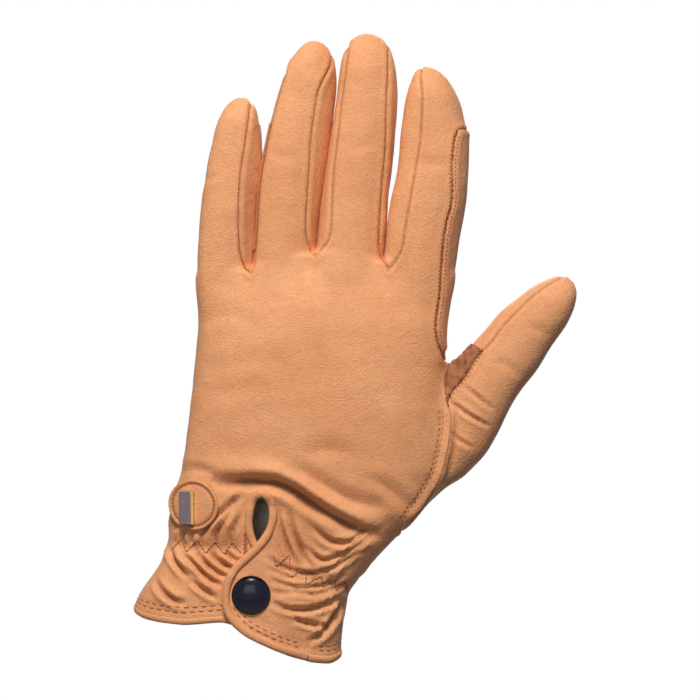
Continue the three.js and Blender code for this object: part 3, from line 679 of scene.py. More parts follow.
def mouth_value(p):
    """Height above the wrist opening's edge."""
    x, y, z = p.T
    left = np.interp(x, MOUTH_LEFT[:, 0], MOUTH_LEFT[:, 1])
    right = np.interp(x, MOUTH_RIGHT[:, 0], MOUTH_RIGHT[:, 1])
    back = np.where((x > 16) | ((fold_side(p[:, [0, 2]]) < 0) & (x > 8)), right, left)
    palm = np.interp(x, MOUTH_PALM[:, 0], MOUTH_PALM[:, 1])
    return z - (back + (palm - back) * smoothstep(-6, 6, y))


def finger_of(p):
    """Which finger each point is nearest to, by its place in FINGERS."""
    return np.stack([fingers[name].field(p) for name in FINGERS]).argmin(0)


def value_of(name, p):
    """Distance inside one panel's outline, on whichever side of the hand each point is."""
    if name == "fork":
        return np.minimum(inside_signed(p[:, [0, 2]], FORK), 7.5 - p[:, 1])
    if name == "guard":
        return two_sided(p, GUARD["front"], GUARD["palm"])
    if name == "thumb_outer":
        return two_sided(p, THUMB_OUTER["front"], THUMB_OUTER["palm"], THUMB_Y)
    return two_sided(p, **FOURCHETTES[name])


skin = Skin(points, normals, triangles)
front_wrist = (skin.p[:, 1] < -4) & (skin.p[:, 2] < 56)
skin.cut(fold_side(skin.p[:, [0, 2]]), BITS["fold"], front_wrist)
flap_skin = Skin(skin.p, skin.n, skin.t)
flap_skin.label = skin.label
corner = flap_skin.p[flap_skin.t[:, 0]]
near_flap = (corner[:, 1] < -2) & (corner[:, 2] < 56)
flap_skin.t, flap_skin.label = flap_skin.t[near_flap], flap_skin.label[near_flap]
flap_skin.cut(inside_signed(flap_skin.p[:, [0, 2]], FLAP), BITS["flap"])
skin.cut(mouth_value(skin.p), BITS["mouth"])
keep = skin.has(BITS["mouth"])
skin.t, skin.label = skin.t[keep], skin.label[keep]
for name in PANELS:
    value = skin.cut(value_of(name, skin.p), BITS[name])
    for side in (-0.5, 0.5):
        value = skin.cut(value + side, None) - side
for k, name in enumerate(FINGERS):
    for cut, at in ((f"{name}_start", START[name]), (f"{name}_mid", MIDDLE[name])):
        s, _ = fingers[name].local(skin.p)
        skin.cut(s - at, BITS[cut], finger_of(skin.p) == k)
skin.cut(np.where(skin.p[:, 0] > 7.5, 195.5, 193.0) - skin.p[:, 2], BITS["patch_top"],
         (skin.p[:, 0] < 20) & (skin.p[:, 2] > 188))
for name, outline in (("keyhole", KEYHOLE_EDGE), ("slit", SLIT)):
    skin.cut(np.where(skin.p[:, 1] < 0, inside_signed(skin.p[:, [0, 2]], outline), -9), BITS[name])


def relief(p):
    """Where the finished leather lies off the smooth shape, in mm, and its painted crease and seam shade, 0 to
    1.
    """
    xz = p[:, [0, 2]]
    out = crumple(p)
    # Painted shade: darker where the leather is pressed in, in creases and folds.
    dark = 0.85 * smoothstep(0.3, 2.0, -out)
    inside = {name: value_of(name, p) for name in PANELS}
    for name in PANELS[:-1]:
        d = np.abs(inside[name])
        out += -0.6 * hump(d, 0.36) + 0.34 * hump(d - 1.4, 0.95)
        # Painted shade along each seam's groove.
        dark = np.maximum(dark, 0.6 * hump(d, 0.34))
    patch = smoothstep(-0.5, 1.5, inside["fork"]) * smoothstep(0.5, -0.5, inside["thumb_outer"])
    wrinkle = waves(p, 4.0, 31)
    out += 0.75 * patch * wrinkle
    # Painted shade in the hollows of the fork patch's wrinkles.
    dark = np.maximum(dark, 0.5 * patch * smoothstep(0.1, -0.9, wrinkle))
    d, share = line_distance(xz, front_line("outseam"))
    front = smoothstep(2, -2, p[:, 1])
    ridge = front * smoothstep(0, 0.12, share) * smoothstep(1, 0.78, share)
    out += ridge * (1.5 * hump(d, 1.1) - 0.35 * hump(d - 3.2, 1.0))
    height = mouth_value(p)
    for level in (5.4, 3.6):
        out -= 0.22 * hump(height - level, 0.6)
    out += 0.25 * hump(height - 1.6, 1.4)
    return out, np.clip(dark, 0, 1)


# ---------------------------------------------------------------- materials


def srgb(*levels):
    """Linear colour of levels from 0 to 255."""
    return tuple(((v / 255 + 0.055) / 1.055) ** 2.4 for v in levels)


def new_material(name, colour, roughness, metallic=0.0):
    """A material, its node tree and its shader."""
    material = bpy.data.materials.new(name)
    material.use_nodes = True
    shader = material.node_tree.nodes["Principled BSDF"]
    shader.inputs["Base Color"].default_value = (*colour, 1)
    shader.inputs["Roughness"].default_value = roughness
    shader.inputs["Metallic"].default_value = metallic
    return material, material.node_tree, shader


def node(tree, kind, inputs=(), **settings):
    """A new node, with its inputs set to values or linked to other nodes' outputs."""
    made = tree.nodes.new(kind)
    for key, value in settings.items():
        setattr(made, key, value)
    for socket, value in dict(inputs).items():
        if isinstance(value, bpy.types.NodeSocket):
            tree.links.new(value, made.inputs[socket])
        else:
            made.inputs[socket].default_value = value
    return made


def mixed(tree, factor, a, b):
    """Colour a turning to colour b as factor goes from 0 to 1."""
    a, b = (value if isinstance(value, bpy.types.NodeSocket) else (*value, 1) for value in (a, b))
    return node(tree, "ShaderNodeMix", {0: factor, 6: a, 7: b}, data_type="RGBA").outputs[2]


def noise(tree, where, scale, detail, roughness):
    """Cloudy values, about 0.5, at a number of clouds to the metre."""
    return node(tree, "ShaderNodeTexNoise", {
        "Vector": where, "Scale": scale, "Detail": detail, "Roughness": roughness}).outputs["Fac"]


def ramp(tree, value, low, high):
    """0 at low and 1 at high."""
    return node(tree, "ShaderNodeMapRange", {"Value": value, "From Min": low, "From Max": high}).outputs[0]


def leather(name, light, base, deep, grain=0.4, crumpled=0.0, roughness=0.6):
    """Smooth glove leather: clouded dye, fine pores, a soft sheen, and painted shade in its creases and seams.
    """
    material, tree, shader = new_material(name, base, roughness)
    where = node(tree, "ShaderNodeAttribute", attribute_name="rest").outputs["Vector"]
    dark = node(tree, "ShaderNodeAttribute", attribute_name="shade").outputs["Fac"]
    cloud = noise(tree, where, 42.0, 5.0, 0.55)
    mottle = noise(tree, where, 260.0, 6.0, 0.7)
    colour = mixed(tree, ramp(tree, cloud, 0.38, 0.68), base, light)
    freckle = node(tree, "ShaderNodeMapRange", {
        "Value": mottle, "From Min": 0.5, "From Max": 0.85, "To Max": 0.35})
    colour = mixed(tree, freckle.outputs[0], colour, deep)
    lines = noise(tree, where, 700.0, 8.0, 0.68)
    speck = node(tree, "ShaderNodeMapRange", {
        "Value": lines, "From Min": 0.48, "From Max": 0.72, "To Max": 0.42})
    colour = mixed(tree, speck.outputs[0], colour, deep)
    # Painted shade: the shade attribute mixes the colour towards dark brown in creases and seam grooves.
    fade = node(tree, "ShaderNodeMath", {0: dark, 1: 0.9}, operation="MULTIPLY")
    colour = mixed(tree, fade.outputs[0], colour, srgb(92, 48, 24))
    tree.links.new(colour, shader.inputs["Base Color"])
    pores = node(tree, "ShaderNodeTexVoronoi", {"Vector": where, "Scale": 1500.0, "Randomness": 1.0})
    soft = noise(tree, where, 150.0, 4.0, 0.6)
    height = node(tree, "ShaderNodeMath", {0: lines, 1: pores.outputs["Distance"]}, operation="ADD")
    fine = node(tree, "ShaderNodeBump", {"Height": height.outputs[0], "Strength": grain, "Distance": 0.0004})
    broad = node(tree, "ShaderNodeBump", {
        "Height": soft, "Strength": 0.24 + crumpled, "Distance": 0.0012, "Normal": fine.outputs[0]})
    tree.links.new(broad.outputs[0], shader.inputs["Normal"])
    rough = node(tree, "ShaderNodeMapRange", {
        "Value": mottle, "From Min": 0.3, "From Max": 0.7, "To Min": roughness - 0.06,
        "To Max": roughness + 0.1})
    tree.links.new(rough.outputs[0], shader.inputs["Roughness"])
    shader.inputs["Specular IOR Level"].default_value = 0.28
    shader.inputs["Sheen Weight"].default_value = 0.06
    shader.inputs["Sheen Roughness"].default_value = 0.45
    shader.inputs["Sheen Tint"].default_value = (1.0, 0.8, 0.62, 1)
    return material


def fibre(name, colour, deep, scale):
    """Thread, webbing or the napped side of leather: a fine broken surface with no gloss."""
    material, tree, shader = new_material(name, colour, 0.9)
    where = node(tree, "ShaderNodeTexCoord").outputs["Object"]
    fuzz = noise(tree, where, scale, 7.0, 0.7)
    tree.links.new(mixed(tree, fuzz, colour, deep), shader.inputs["Base Color"])
    bump = node(tree, "ShaderNodeBump", {"Height": fuzz, "Strength": 0.5, "Distance": 0.0005})
    tree.links.new(bump.outputs[0], shader.inputs["Normal"])
    shader.inputs["Specular IOR Level"].default_value = 0.15
    shader.inputs["Sheen Weight"].default_value = 0.25
    return material


def polished(name, colour, worn, roughness, metallic, coat=0.0):
    """Metal or enamel with faint smears and hairline wear."""
    material, tree, shader = new_material(name, colour, roughness, metallic)
    where = node(tree, "ShaderNodeTexCoord").outputs["Object"]
    smear = noise(tree, where, 380.0, 6.0, 0.62)
    spots = ramp(tree, smear, 0.55, 0.75)
    tree.links.new(mixed(tree, spots, colour, worn), shader.inputs["Base Color"])
    rough = node(tree, "ShaderNodeMapRange", {
        "Value": smear, "To Min": roughness * 0.7, "To Max": roughness * 1.5})
    tree.links.new(rough.outputs[0], shader.inputs["Roughness"])
    shader.inputs["Coat Weight"].default_value = coat
    shader.inputs["Specular IOR Level"].default_value = 0.5 if metallic else 0.1
    shader.inputs["Coat Roughness"].default_value = 0.08
    return material


TAN = leather("tan_leather", srgb(238, 168, 116), srgb(229, 156, 104), srgb(204, 128, 80))
DARK = leather("worn_leather", srgb(188, 122, 80), srgb(162, 100, 64), srgb(112, 66, 40), 0.5, 0.5, 0.72)
# A little darker than TAN: painted shade for the guard on the index's outer side, which lies in shadow. The
# badge and the reinforcement patches use it too.
GUARD_LEATHER = leather(
    "guard_leather", srgb(234, 163, 112), srgb(222, 149, 99), srgb(190, 116, 74), 0.3, 0.1, 0.62)
FLESH = fibre("flesh_side", srgb(244, 232, 214), srgb(234, 218, 196), 900.0)
THREAD = fibre("thread", srgb(212, 142, 94), srgb(168, 102, 62), 2500.0)
WEBBING = fibre("elastic_webbing", srgb(222, 212, 192), srgb(196, 184, 160), 1500.0)
ENAMEL = polished("navy_enamel", (0.002, 0.003, 0.012), (0.004, 0.006, 0.022), 0.28, 0.0, 0.16)
STEEL = polished("nickel", (0.60, 0.57, 0.53), (0.45, 0.42, 0.38), 0.26, 1.0)
BRASS = polished("brass", (0.62, 0.42, 0.16), (0.45, 0.30, 0.12), 0.22, 1.0)
GUNMETAL = polished("bar_face", (0.17, 0.13, 0.15), (0.28, 0.22, 0.24), 0.3, 0.85)


# ---------------------------------------------------------------- making pieces


def finish_mesh(name, p, faces, looks, face_look, point_normals=None, rest=None, shade=None):
    """An object from points in mm. rest is where the leather's pattern lies, shade its painted crease and seam
    shade.
    """
    rest = p if rest is None else rest
    shade = np.zeros(len(p)) if shade is None else shade
    mesh = bpy.data.meshes.new(name)
    mesh.from_pydata((np.asarray(p) * MM).tolist(), [], [list(map(int, f)) for f in faces])
    for look in looks:
        mesh.materials.append(look)
    mesh.polygons.foreach_set("material_index", np.asarray(face_look, np.int32))
    mesh.polygons.foreach_set("use_smooth", np.ones(len(mesh.polygons), bool))
    attribute = mesh.attributes.new("rest", "FLOAT_VECTOR", "POINT")
    attribute.data.foreach_set("vector", (np.asarray(rest) * MM).astype(np.float32).ravel())
    attribute = mesh.attributes.new("shade", "FLOAT", "POINT")
    attribute.data.foreach_set("value", shade.astype(np.float32))
    mesh.update()
    if point_normals is not None:
        loops = np.empty(len(mesh.loops), np.int32)
        mesh.loops.foreach_get("vertex_index", loops)
        mesh.normals_split_custom_set(point_normals[loops].tolist())
    made = bpy.data.objects.new(name, mesh)
    bpy.context.collection.objects.link(made)
    return made


def boundary_edges(t):
    """The edges that only one triangle has, in that triangle's order."""
    edges = np.vstack([t[:, [0, 1]], t[:, [1, 2]], t[:, [2, 0]]])
    keys = np.sort(edges, axis=1)
    _, first, counts = np.unique(keys, axis=0, return_index=True, return_counts=True)
    return edges[first[counts == 1]]


def layer(name, p, n, t, rest, shade, top, thickness, look, inner_look=FLESH, rim_look=None):
    """A piece of leather from part of a skin, with its outer face top mm off the skin."""
    used, local = np.unique(t, return_inverse=True)
    t = local.reshape(-1, 3)
    p, n, rest, shade = p[used], n[used], rest[used], shade[used]
    outer, inner = p + n * top, p + n * (top - thickness)
    count = len(p)
    edges = boundary_edges(t)
    rim_points = np.vstack([outer[edges[:, 0]], outer[edges[:, 1]], inner[edges[:, 1]], inner[edges[:, 0]]])
    m = len(edges)
    base = 2 * count
    rim = [[base + i, base + 3 * m + i, base + 2 * m + i, base + m + i] for i in range(m)]
    across = unit(np.cross(outer[edges[:, 1]] - outer[edges[:, 0]], n[edges[:, 0]]))
    all_p = np.vstack([outer, inner, rim_points])
    all_n = np.vstack([n, -n] + [across] * 4)
    faces = [list(f) for f in t] + [list(f[::-1] + count) for f in t] + rim
    looks = [look, inner_look, rim_look or look]
    face_look = [0] * len(t) + [1] * len(t) + [2] * m
    rests = np.vstack([rest, rest] + [rest[edges[:, 0]]] * 4)
    # The outer face keeps its painted shade, the inner face none, and the cut rims a fixed 0.25 darkening.
    shades = np.concatenate([shade, shade * 0] + [shade[edges[:, 0]] * 0 + 0.25] * 4)
    return finish_mesh(name, all_p, faces, looks, face_look, all_n, rests, shades)


def relieved(one, lift=0.0):
    """The skin's points and normals with its creases, and their painted shade."""
    out, dark = relief(one.p)
    p = one.p + one.n * (out + lift)[:, None]
    return p, vertex_normals(p, one.t), dark


hand_p, hand_n, hand_shade = relieved(skin)
centroid = skin.p[skin.t].mean(1)
owner = finger_of(centroid)
names = list(FINGERS)
in_front = centroid[:, 1] < 0
hand_tris = {}


def give(name, mask):
    """Gives the skin's triangles in mask to a piece of leather."""
    if mask.any():
        hand_tris[name] = skin.t[mask]


has = {name: skin.has(bit) for name, bit in BITS.items()}
fork = has["fork"] & ~has["thumb_outer"]
gone = in_front & (has["keyhole"] | (has["slit"] & has["fold"])) & (centroid[:, 2] < 60)
beyond_start = np.zeros(len(centroid), bool)
for k, name in enumerate(names):
    mine = (owner == k) & has[f"{name}_start"]
    beyond_start |= mine
    for part, segment in (("base", mine & ~has[f"{name}_mid"]), ("tip", mine & has[f"{name}_mid"])):
        rest_of = segment.copy()
        for side, gaps in (("outer", (None, *GAPS)), ("inner", (*GAPS, None))):
            gap = dict(zip(names, gaps)).get(name)
            if gap:
                strip = segment & has[gap]
                if gap == "little_ring":
                    give(f"{name}_{part}_rein_patch", strip & has["patch_top"])
                    strip = strip & ~has["patch_top"]
                give(f"{name}_{part}_fourchette_{side}", strip)
                rest_of &= ~(segment & has[gap])
        if name == "index":
            give(f"{name}_{part}_guard", segment & has["guard"])
            rest_of &= ~has["guard"]
        if name == "thumb":
            give(f"thumb_{part}_fork", segment & fork)
            rest_of &= ~fork
            give(f"thumb_{part}_outer", rest_of & has["thumb_outer"])
            give(f"thumb_{part}_inner", rest_of & ~has["thumb_outer"])
        elif name == "little" or (name == "index" and part == "tip"):
            give(f"{name}_{part}_skin", rest_of)
        else:
            give(f"{name}_{part}_back", rest_of & in_front)
            give(f"{name}_{part}_palm", rest_of & ~in_front)
on_hand = ~beyond_start & ~gone
for name in GAPS:
    give(f"crotch_{name}", on_hand & has[name])
    on_hand &= ~has[name]
give("hand_guard", on_hand & has["guard"])
give("thumb_fork_patch", on_hand & fork & ~has["guard"])
on_hand &= ~has["guard"] & ~fork
give("thumb_heel", on_hand & has["thumb_outer"])
give("trank", on_hand & ~has["thumb_outer"])

REPLACED = {
    "trank": ["hand_back", "hand_palm"],
    "little_base_skin": ["little_base_back", "little_base_palm"],
    "little_tip_skin": ["little_tip_back", "little_tip_palm"],
    "index_tip_skin": ["index_tip_back", "index_tip_palm"],
    "little_base_rein_patch": ["little_base_fourchette_inner", "little_base_rein_patch"],
    "ring_base_rein_patch": ["ring_base_fourchette_outer", "ring_base_rein_patch"],
}


def bend(piece, part):
    """Bakes a piece's transform into its mesh, the same for a finger's root (part is base) as for its middle
    (part is tip).
    """
    if part == "base":
        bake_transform(piece)
    else:
        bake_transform(piece)


def place(piece, name):
    """Rides a piece of leather on the hand's body, or bakes it in place if it belongs to a part of a finger, and
    hides the model's parts that it stands for.
    """
    words = name.split("_")
    if words[1:2] in (["base"], ["tip"]):
        bend(piece, words[1])
    else:
        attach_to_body(piece, "hand")
    nodes = REPLACED.get(name, [name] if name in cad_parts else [])
    if nodes:
        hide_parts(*nodes)


for name, t in hand_tris.items():
    top, thickness, look, rim = 0.0, SKIN, TAN, TAN
    if "guard" in name:
        top, thickness, look, rim = 0.75, 0.75 + SKIN, GUARD_LEATHER, DARK
    elif "fork" in name:
        top, thickness, look, rim = 0.55, 0.55 + SKIN, DARK, DARK
    elif "rein_patch" in name:
        top, thickness, look, rim = 0.4, 0.4 + SKIN, GUARD_LEATHER, DARK
    made = layer(f"{name}_leather", hand_p, hand_n, t, skin.p, hand_shade, top, thickness, look, rim_look=rim)
    place(made, name)


# ---------------------------------------------------------------- the flap

flap_lift = FLAP_LIFT * smoothstep(0, 9, fold_side(flap_skin.p[:, [0, 2]]))
flap_p, flap_n, flap_shade = relieved(flap_skin, flap_lift)
flap_t = flap_skin.t[flap_skin.has(BITS["flap"]) & flap_skin.has(BITS["fold"])]


def on_hand(piece, *nodes, slot="leather"):
    """Makes a piece follow the hand, and hides the nodes that it stands for."""
    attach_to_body(piece, "hand")
    if nodes:
        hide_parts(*nodes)


def on_flap(piece, *nodes, slot="leather"):
    """Bakes a piece's transform into its mesh, and hides the nodes that it stands for."""
    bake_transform(piece)
    if nodes:
        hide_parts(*nodes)


on_flap(layer("flap_panel", flap_p, flap_n, flap_t, flap_skin.p, flap_shade, 0.0, SKIN, TAN), "flap_leather")


# ---------------------------------------------------------------- edges, tubes and stitches


def chain(t, wanted):
    """The boundary of some triangles where wanted is true, as the longest run of points in order."""
    edges = boundary_edges(t)
    edges = edges[wanted[edges[:, 0]] & wanted[edges[:, 1]]]
    following = {int(a): int(b) for a, b in edges}
    starts = [a for a in following if a not in set(following.values())] or [next(iter(following))]
    best = []
    for start in starts:
        run = [start]
        while run[-1] in following and following[run[-1]] != start:
            run.append(following[run[-1]])
        if len(run) > len(best):
            best = run
    return np.array(best)


def evened(line, count, rounds):
    """A line resampled at even steps after its small wobbles are smoothed out. Its ends stay."""
    line = np.array(line, float)
    for _ in range(rounds):
        line[1:-1] = 0.5 * line[1:-1] + 0.25 * (line[:-2] + line[2:])
    length = np.concatenate([[0], np.cumsum(np.linalg.norm(np.diff(line[:, :3], axis=0), axis=1))])
    at = np.linspace(0, length[-1], count)
    return np.stack([np.interp(at, length, line[:, k]) for k in range(line.shape[1])], axis=1)


def tube(name, path, up, profile, look, scale):
    """Carries a closed profile, given as across and up, along a path, with a scale at each of its points."""
    count, m = len(path), len(profile)
    tangent = unit(np.gradient(path, axis=0))
    across = unit(np.cross(tangent, up))
    up = np.cross(across, tangent)
    rings = (path[:, None] + across[:, None] * (profile[None, :, :1] * scale[:, None, None])
             + up[:, None] * (profile[None, :, 1:] * scale[:, None, None]))
    bulge = 0.45 * abs(profile[:, 1]).max()
    p = np.vstack([rings.reshape(-1, 3), path[0] - tangent[0] * bulge, path[-1] + tangent[-1] * bulge])
    faces = [(i * m + k, i * m + (k + 1) % m, (i + 1) * m + (k + 1) % m, (i + 1) * m + k)
             for i in range(count - 1) for k in range(m)]
    faces += [((k + 1) % m, k, count * m) for k in range(m)]
    faces += [((count - 1) * m + k, (count - 1) * m + (k + 1) % m, count * m + 1) for k in range(m)]
    return closed_mesh(name, p, faces, look)


def closed_mesh(name, p, faces, look, shade=None, sharp=None):
    """A closed piece with its faces turned outward, and sharp edges where they turn more than sharp degrees."""
    made = finish_mesh(name, p, faces, [look], [0] * len(faces), shade=shade)
    work = bmesh.new()
    work.from_mesh(made.data)
    bmesh.ops.recalc_face_normals(work, faces=work.faces)
    work.to_mesh(made.data)
    work.free()
    if sharp is not None:
        made.data.set_sharp_from_angle(angle=math.radians(sharp))
    return made


def ringed_faces(rings, sides):
    """Faces of a piece whose points are one, then rings of sides points each, then one."""
    last = 1 + (rings - 1) * sides
    faces = [(0, 1 + k, 1 + (k + 1) % sides) for k in range(sides)]
    for base in range(1, last, sides):
        faces += [(base + k, base + sides + k, base + sides + (k + 1) % sides, base + (k + 1) % sides)
                  for k in range(sides)]
    return faces + [(last + (k + 1) % sides, last + k, last + sides) for k in range(sides)]


def oval(width, height, count=14, power=2.4):
    """A rounded profile, fuller than an ellipse."""
    a = np.linspace(0, 2 * math.pi, count, endpoint=False)
    c, s = np.cos(a), np.sin(a)
    return np.stack([np.sign(c) * np.abs(c) ** (2 / power) * width / 2,
                     np.sign(s) * np.abs(s) ** (2 / power) * height / 2], axis=1)


def stitches(name, ends, up, radius, attach=on_hand):
    """Threads, one for each pair of ends: each rises out of the leather, lies on it, and goes back in."""
    a, b, up = (np.asarray(v, float) for v in (ends[0], ends[1], up))
    steps, sides = 7, 7
    u = np.linspace(0, 1, steps)
    bow = np.sin(u * math.pi)
    along = unit(b - a)
    across = unit(np.cross(along, up))
    lift = radius * (-0.7 + 1.5 * bow**0.5)
    centre = (a[:, None] + (b - a)[:, None] * u[None, :, None] + up[:, None] * lift[None, :, None])
    size = radius * (0.5 + 0.5 * bow**0.5)
    turn = np.linspace(0, 2 * math.pi, sides, endpoint=False)
    ring = (across[:, None, None] * np.cos(turn)[None, None, :, None]
            + up[:, None, None] * np.sin(turn)[None, None, :, None]) * size[None, :, None, None]
    p = (centre[:, :, None] + ring).reshape(-1, 3)
    faces = []
    for n in range(len(a)):
        base = n * steps * sides
        for i in range(steps - 1):
            for k in range(sides):
                faces.append((base + i * sides + k, base + i * sides + (k + 1) % sides,
                              base + (i + 1) * sides + (k + 1) % sides, base + (i + 1) * sides + k))
        faces.append([base + k for k in range(sides)][::-1])
        faces.append([base + (steps - 1) * sides + k for k in range(sides)])
    attach(closed_mesh(name, p, faces, THREAD), slot="thread")


def on_finger(part):
    """An attach function for one part of a finger: it bakes the piece's transform in place, through bend."""
    def attach(piece, slot):
        bend(piece, part)
    return attach


def finger_stitches(name, finger, ends, up, radius):
    """Stitches along a finger, parted at its start and middle: those on the hand follow the hand, the rest are
    baked in place.
    """
    a, b = ends
    s, _ = fingers[finger].local((a + b) / 2)
    for part, mask in (("hand", s < START[finger]), ("base", (s >= START[finger]) & (s < MIDDLE[finger])),
                       ("tip", s >= MIDDLE[finger])):
        if mask.any():
            attach = on_hand if part == "hand" else on_finger(part)
            stitches(f"{name}_{part}", (a[mask], b[mask]), up[mask], radius, attach)


def spaced(path, normal, pitch, length):
    """Stitch ends along a path of points, a pitch apart, each as long as length."""
    line = np.hstack([path, normal])
    run = np.concatenate([[0], np.cumsum(np.linalg.norm(np.diff(path, axis=0), axis=1))])
    first = np.arange(0.4, run[-1] - length, pitch)
    at = [np.stack([np.interp(first + d, run, line[:, k]) for k in range(6)], axis=1) for d in (0, length)]
    return at[0][:, :3], at[1][:, :3], unit(at[0][:, 3:] + at[1][:, 3:])


class Surface:
    """Finds points on finished leather by casting rays at it."""

    def __init__(self, p, t):
        self.tree = BVHTree.FromPolygons(p.tolist(), t.tolist())

    def cast(self, xz):
        """Points and normals where lines along Y meet the back of the hand."""
        spots, normals = [], []
        for x, z in xz:
            spot, normal, _, _ = self.tree.ray_cast(Vector((x, -60, z)), Vector((0, 1, 0)))
            if spot is not None:
                spots.append(spot)
                normals.append(normal)
        return np.array(spots), np.array(normals)

    def around(self, height, start, stop, count=360):
        """Points and normals round the wrist, height over its edge. 0 degrees is the thumb side, 90 the palm."""
        spots, normals = [], []
        for angle in np.radians(np.linspace(start, stop, count)):
            way = Vector((math.cos(angle), math.sin(angle), 0))
            spot = Vector((30 * math.cos(angle), 14 * math.sin(angle), 10))
            for _ in range(3):
                z = height - mouth_value(np.array([[spot.x, spot.y, 0.0]]))[0]
                hit, normal, _, _ = self.tree.ray_cast(Vector((0, 0, z)) + way * 90, -way)
                if hit is None:
                    break
                spot = hit
            if hit is not None:
                spots.append(hit)
                normals.append(normal)
        return np.array(spots), np.array(normals)


# The hand and the flap as cut, and both before the keyhole and the flap's outline are cut.
hand_all = np.vstack(list(hand_tris.values()))
hand_surface = Surface(hand_p, hand_all)
flap_surface = Surface(flap_p, flap_t)
whole_surface = Surface(hand_p, skin.t)
whole_flap = Surface(flap_p, flap_skin.t)


def binding(name, curve, surface_, count, height, seed):
    """A rolled edge along a curve in the front view, standing height off the leather."""
    spots, normals = surface_.cast(smooth_line(curve, count))
    line = evened(np.hstack([spots, unit(normals)]), count, 8)
    n = unit(line[:, 3:])
    wobble = 1 + 0.05 * waves(line[:, :3], 6, seed)
    return tube(name, line[:, :3] + n * height, n, oval(3.2, 2.9), TAN, wobble)


on_hand(binding("keyhole_edge_binding", KEYHOLE_BINDING, whole_surface, 80, -0.1, 21), "keyhole_binding")
on_flap(binding("flap_edge_binding", FLAP_EDGE, whole_flap, 130, -0.15, 22), "flap_binding")

# Turned hem round the wrist opening, and its turning inside.
HEM_HEIGHT = 5.4
low = np.abs(mouth_value(skin.p)) < 0.2
hem_chain = chain(hand_all, low)
line = np.hstack([hand_p[hem_chain] - hand_n[hem_chain] * SKIN / 2, hand_n[hem_chain]])
line = evened(line, 260, 14)
thicker = 1 + 0.22 * smoothstep(22, 27, line[:, 0]) * smoothstep(4, -4, line[:, 1])
on_hand(tube("turned_hem", line[:, :3], line[:, 3:], oval(2.7, 2.2), TAN, thicker),
        "hem_back_left", "hem_back_right", "hem_palm")
inner = hand_tris["trank"]
inner = inner[(mouth_value(skin.p)[inner] < HEM_HEIGHT).all(1)]
on_hand(layer("hem_turning", hand_p, hand_n, inner, skin.p, hand_shade, -SKIN, 0.8, TAN, TAN))

# Elastic, sewn inside.
for side, low_x, high_x in (("left", -24.5, 3.0), ("right", 16.0, 43.0)):
    xs = np.linspace(low_x, high_x, 40)
    zs = np.interp(xs, ELASTIC_LINE[:, 0], ELASTIC_LINE[:, 1])
    rows = [hand_surface.cast(np.stack([xs, zs + d], axis=1)) for d in np.linspace(-3.2, 3.2, 6)]
    p, n = (np.vstack([row[k] for row in rows]) for k in (0, 1))
    c = len(xs)
    t = np.array([f for i in range(5) for k in range(i * c, i * c + c - 1)
                  for f in ((k, k + 1, k + c + 1), (k, k + c + 1, k + c))])
    piece = layer(f"elastic_band_{side}", p, n, t, p, np.zeros(len(p)), -SKIN - 0.02, 0.8, WEBBING, WEBBING)
    on_hand(piece, f"elastic_{side}", slot="elastic")


# ---------------------------------------------------------------- sewing

ZIGZAG_LIFT = 0.12  # keeps its threads out of the gathers
for row, height in (("upper", 5.5), ("lower", 3.7)):
    spots, normals = hand_surface.around(height, -50, 291)
    clear = ~((spots[:, 0] > 9) & (spots[:, 0] < 31) & (spots[:, 1] < -5))
    spots, normals = spots[clear], unit(normals[clear])
    a, b, up = spaced(spots, normals, 3.4, 2.5)
    good = np.linalg.norm(b - a, axis=1) < 4
    stitches(f"hem_stitches_{row}", (a[good], b[good]), up[good], 0.24)


def zigzag(name, corners, surface_, attach=on_hand):
    """Zigzag sewing from corner to corner, with four stitches to a leg."""
    a, b, up = [], [], []
    for start, stop in zip(corners[:-1], corners[1:]):
        spots, normals = surface_.cast([np.array(start) + (np.array(stop) - start) * u
                                        for u in np.linspace(0.02, 0.98, 5)])
        spots = spots + normals * ZIGZAG_LIFT
        a += list(spots[:-1])
        b += list(spots[1:])
        up += list(unit(normals[:-1] + normals[1:]))
    stitches(name, (a, b), up, 0.25, attach)


zigzag("zigzag_left", ZIGZAG_LEFT, hand_surface)
zigzag("zigzag_right", ZIGZAG_RIGHT[2:], whole_surface)
zigzag("zigzag_flap", ZIGZAG_RIGHT[:3], whole_flap, on_flap)
tack = [((3.0 + 0.25 * (k % 2), z), (5.2 - 0.2 * (k % 3), z + 0.5))
        for k, z in enumerate(np.arange(28.6, 38.0, 0.85))]
spots = [hand_surface.cast(pair) for pair in tack]
spots = [s for s in spots if len(s[0]) == 2]
stitches("keyhole_backtack", ([s[0][0] for s in spots], [s[0][1] for s in spots]),
         [unit(s[1][0] + s[1][1]) for s in spots], 0.27)


def row_beside(line, offset):
    """A line in the front view moved sideways, to its left as it runs."""
    tangent = unit(np.gradient(line, axis=0))
    return line + np.stack([-tangent[:, 1], tangent[:, 0]], axis=1) * offset


def sewn_row(name, line, offset, pitch, length, radius, lift=0.0, finger=None):
    """A row of stitches on the hand beside a line, in parts where it runs along a finger that bends."""
    spots, normals = hand_surface.cast(row_beside(line, offset))
    normals = unit(normals)
    a, b, up = spaced(spots + normals * lift, normals, pitch, length)
    if finger:
        finger_stitches(name, finger, (a, b), up, radius)
    else:
        stitches(name, (a, b), up, radius)


